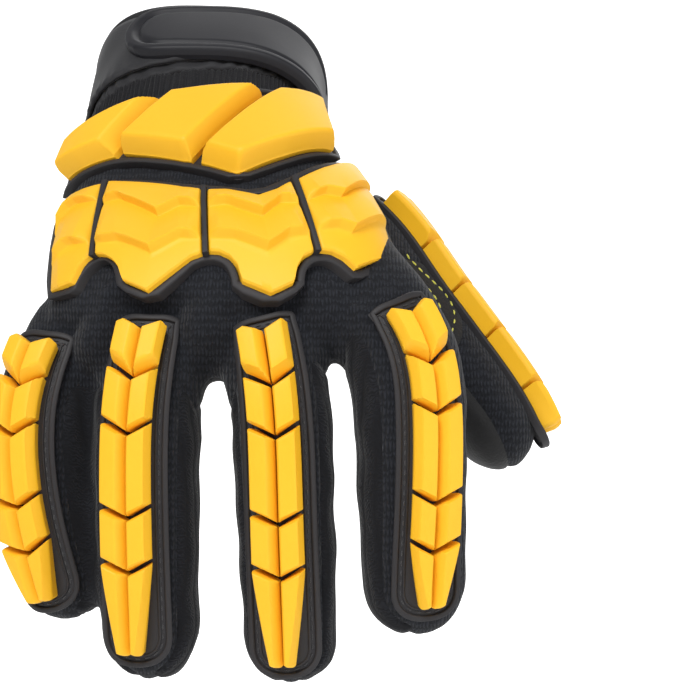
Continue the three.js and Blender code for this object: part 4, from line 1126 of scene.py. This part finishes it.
# Small capsules along a line: each is a ball drawn out by its own direction.
def stitchMesh(centres, directions, normals, length, radius):
    u = np.linspace(0, 2 * np.pi, 7)[:-1]
    v = np.array([-1, -0.7, 0, 0.7, 1])
    ring = np.sqrt(1 - v ** 2)
    ball = np.stack([np.repeat(v * length / 2, 6), np.outer(ring, np.cos(u)).ravel() * radius,
                     np.outer(ring, np.sin(u)).ravel() * radius], 1)
    across = np.cross(directions, normals)
    points = (centres[:, None] + ball[None, :, :1] * directions[:, None]
              + ball[None, :, 1:2] * across[:, None] + ball[None, :, 2:] * normals[:, None])
    faces = gridFaces(5, 6, closedColumns=True)
    faces = facingOut(points[0], faces)
    many = (faces[None] + np.arange(len(centres))[:, None, None] * len(ball)).reshape(-1, 4)
    return points.reshape(-1, 3), many


def unit(vectors):
    return vectors / np.linalg.norm(vectors, axis=-1, keepdims=True)


# Stitches on a form, from places (w, t) at a lift
def stitchesOn(form, w, t, lift, length, radius):
    centres = onBack(form, w, t, lift)
    ahead = onBack(form, w + np.gradient(w) * 0.1, t + np.gradient(t) * 0.1, lift)
    normals = unit(onBack(form, w, t, lift + 1) - centres)
    return stitchMesh(centres, unit(ahead - centres), normals, length, radius)


# Outline of a finger base: straight sides, a cut upper edge, and a round lower end
def fingerOutline(name, ends):
    g = fingerGuard
    start, end, half = ends[0] - g["plateStart"], ends[-1] + g["plateEnd"], g["plateHalf"][name]
    turn = np.linspace(0, np.pi, 15)
    shoulder = end - half * 0.95
    dome = np.stack([half * np.sign(np.cos(turn)) * np.abs(np.cos(turn)) ** 0.85,
                     shoulder + (end - shoulder) * np.sin(turn) ** 0.85], 1)
    upper = np.array([(-half, start + 1.9), (-half * 0.6, start + 0.4), (0, start + 0.6), (half * 0.6, start),
                      (half, start + 1.2)])
    return resampled(cornersCut(np.vstack([upper, dome]), 2), 0.8)


def makeFingerGuards():
    g = fingerGuard
    stitches = []
    for name, shape in fingerForms.items():
        form, ends = forms[name], shape["ends"]
        outline = fingerOutline(name, ends)
        span = np.linspace(-1, 1, 21)[None, :]
        start, end = outline[:, 1].min() + 1, outline[:, 1].max() - 1
        t = np.linspace(start, end, 60)[:, None]
        closing = np.clip((t - (end - 7.4)) / 7.4, 0, 1)
        w = (g["plateHalf"][name] - 0.8) * span * (1 - closing ** 2.4) ** (1 / 2.4)
        parts = [rimMesh(form, outline, g["lip"]), rimMesh(form, outline, g["innerLip"]),
                 slabMesh(form, w, np.broadcast_to(t, w.shape), 0.75)]
        newPiece(name + "Base", *joined(parts), darkRubber, "dark_rubber", [name + "_plate"], sharp=60)
        for number in range(5):
            makeFingerBlock(name, form, ends, number)
        line = resampled(movedIn(outline, g["stitchInset"]), g["stitchEvery"])
        stitches.append(stitchesOn(form, line[:, 0], line[:, 1], 0.85, g["stitchLength"], g["stitchRadius"]))
    points, faces = joined(stitches)
    newPiece("guardStitches", points, faces, darkThread, "back_knit")
    print("finger guards ready")


# One block is two halves. Each runs from its upper to its lower edge, both slanting down to the middle,
# and its lift is the block's height times the smallest of the profiles from its four sides.
def makeFingerBlock(name, form, ends, number):
    g = fingerGuard
    last = number == 4
    start, end = ends[number] + g["spacing"], ends[number + 1]
    v = crowded(max(20, int((end - start) / 0.6)), 1.5)[:, None]
    halves, masks = [], []
    half = g["half"][name]
    for side in (-1, 1):
        left, right = sorted([side * g["split"], side * half])
        u = crowded(26, 1.5)[None, :]
        w = left + (right - left) * u
        point = g["chevron"] * (1 - np.abs(w) / half)
        upper = start + point
        if number == 0:  # the outer corners of a first block are cut
            upper = start + 0.9 * point + 1.5 * np.clip(np.abs(w) / half - 0.7, 0, 1) / 0.3
        lower = end + (0.6 * np.abs(2 * u - 1) ** 3 * -1 if last else point)
        t = upper + (lower - upper) * v
        w = w * (1 - (0.52 * v ** 1.15 if last else 0))
        width = np.abs(w[:, -1:] - w[:, :1])
        turned = 1 - u if name in g["wideLeft"] else u
        share = np.minimum(softProfile(width * turned, *g["steepSide"], 0.06),
                           softProfile(width * (1 - turned), *g["wideSide"], 0.08))
        share = np.minimum(share, softProfile(t - upper, *g["upperEnd"], 0.06))
        lowerEnd = g["firstLowerEnd" if number == 0 else "lowerEnd"]
        share = np.minimum(share, softProfile(lower - t, *lowerEnd, 0.08))
        lift = guardValues["pieceTop"] + g["height"] * share
        halves.append(padMesh(onBack(form, w, t, lift), onBack(form, w, t, guardValues["blockFoot"])))
        masks.append(np.r_[np.clip(share * 12 - 11, 0, 1).ravel(), np.zeros(share.size)])
    piece = newPiece(f"{name}Block{number + 1}", *joined(halves), yellowRubber, "yellow_rubber",
                     [f"{name}_block_{number + 1}"], sharp=30)
    pointMask(piece, "grain", np.concatenate(masks))


makeFingerGuards()

# Rows of stitches on the saddle patch, as (x, z) places seen from the front
patchStitches = {
    "rows": [[(56.9, -53.2), (60.4, -57.3), (63.4, -60), (66.6, -63), (68.6, -65.4), (70.2, -68.8), (70, -73),
              (68, -77.4)],
             [(60.5, -61), (63, -63), (65, -65.4), (66.4, -68.2), (66.6, -71.4), (65.6, -75)]],
    "every": 2.5, "length": 1.75, "radius": 0.28,
}


# The rows are drawn through their places and dropped on the cloth along Y.
def makePatchStitches():
    g = patchStitches
    parts = []
    for row in g["rows"]:
        line = cornersCut(row, 3, closed=False)
        along = np.r_[0, np.cumsum(np.hypot(*np.diff(line, axis=0).T))]
        at = np.arange(g["every"] / 2, along[-1], g["every"])
        x, z = [np.interp(at, along, line[:, k]) for k in (0, 1)]
        hits = [clothTree.ray_cast(Vector((a * mm, -0.1, b * mm)), Vector((0, 1, 0))) for a, b in zip(x, z)]
        centres = np.array([hit[0][:] for hit in hits]) / mm
        normals = np.array([hit[1][:] for hit in hits])
        ahead = np.gradient(centres, axis=0)
        ahead = unit(ahead - normals * (ahead * normals).sum(1)[:, None])
        parts.append(stitchMesh(centres + normals * 0.12, ahead, normals, g["length"], g["radius"]))
    newPiece("patchStitches", *joined(parts), limeThread, "back_knit")
    print("patch stitches ready")


makePatchStitches()


# Stage, camera and light

# The backdrop runs level, then round a quarter circle, then up. Its profile is carried along X.
def makeStage():
    turn = np.linspace(0, quarter, 16)
    bend = np.stack([800 + 700 * np.sin(turn), 400 - 700 * np.cos(turn)], 1)
    profile = np.vstack([[-3000, -300], bend, [1500, 3200]])
    x = np.linspace(-4000, 4000, 3)
    grid = np.concatenate([np.broadcast_to(x[:, None, None], (3, len(profile), 1)),
                           np.broadcast_to(profile[None], (3, len(profile), 2))], 2)
    floor = newObject("backdrop", grid.reshape(-1, 3), gridFaces(3, len(profile)))
    floor.data.shade_smooth()
    material, tree, shader, place = newMaterial("paleFloor", 0.9, Specular_IOR_Level=0.1)
    shader.inputs["Base Color"].default_value = (0.86, 0.86, 0.86, 1)
    shader.inputs["Emission Color"].default_value = (1, 1, 1, 1)
    seenPath = addNode(tree, "ShaderNodeLightPath")  # the backdrop is brighter where the camera sees it
    glow = calc(tree, "MULTIPLY_ADD", seenPath.outputs["Is Camera Ray"], 0.6, 0.2)
    tree.links.new(glow, shader.inputs["Emission Strength"])
    floor.data.materials.append(material)
    world = bpy.data.worlds.new("studio")
    world.use_nodes = True
    bpy.context.scene.world = world
    tree = world.node_tree
    light = tree.nodes["Background"]
    light.inputs["Color"].default_value = (1, 1, 1, 1)
    light.inputs["Strength"].default_value = 0.3
    seen = addNode(tree, "ShaderNodeBackground")
    seen.inputs["Color"].default_value = (0.97, 0.97, 0.97, 1)
    path = addNode(tree, "ShaderNodeLightPath")
    mix = addNode(tree, "ShaderNodeMixShader")
    tree.links.new(path.outputs["Is Camera Ray"], mix.inputs[0])
    tree.links.new(light.outputs[0], mix.inputs[1])
    tree.links.new(seen.outputs[0], mix.inputs[2])
    tree.links.new(mix.outputs[0], tree.nodes["World Output"].inputs["Surface"])


lights = [
    {"name": "key", "at": (-0.3, -0.95, 0.85), "size": 0.7, "power": 13.5},
    {"name": "fill", "at": (0.9, -0.8, 0.1), "size": 1.0, "power": 4.5},
    {"name": "rim", "at": (0.3, 0.9, 0.7), "size": 1.0, "power": 5},
]


def makeLights():
    target = Vector((0.02, -0.06, -0.07))
    for row in lights:
        data = bpy.data.lights.new(row["name"], "AREA")
        data.size = row["size"]
        data.energy = row["power"]
        lamp = bpy.data.objects.new(row["name"], data)
        lamp.location = row["at"]
        lamp.rotation_euler = (target - lamp.location).to_track_quat("-Z", "Y").to_euler()
        bpy.context.scene.collection.objects.link(lamp)


# The photo's place: 560 mm from the picture plane, 2250 pixels of focal length on a picture 690 pixels high
cameraValues = {"at": (0.039, -0.674, -0.0783), "focalPixels": 2250, "picture": (679, 690), "sensor": 36}


def makeCamera():
    v = cameraValues
    data = bpy.data.cameras.new("camera")
    data.sensor_width = v["sensor"]
    data.lens = v["focalPixels"] * v["sensor"] / max(v["picture"])
    camera = bpy.data.objects.new("camera", data)
    camera.location = v["at"]
    camera.rotation_euler = (quarter, 0, 0)
    bpy.context.scene.collection.objects.link(camera)
    bpy.context.scene.camera = camera


makeStage()
makeLights()
makeCamera()
bpy.context.scene.view_settings.view_transform = "Standard"
print("stage ready")

bpy.context.view_layer.update()
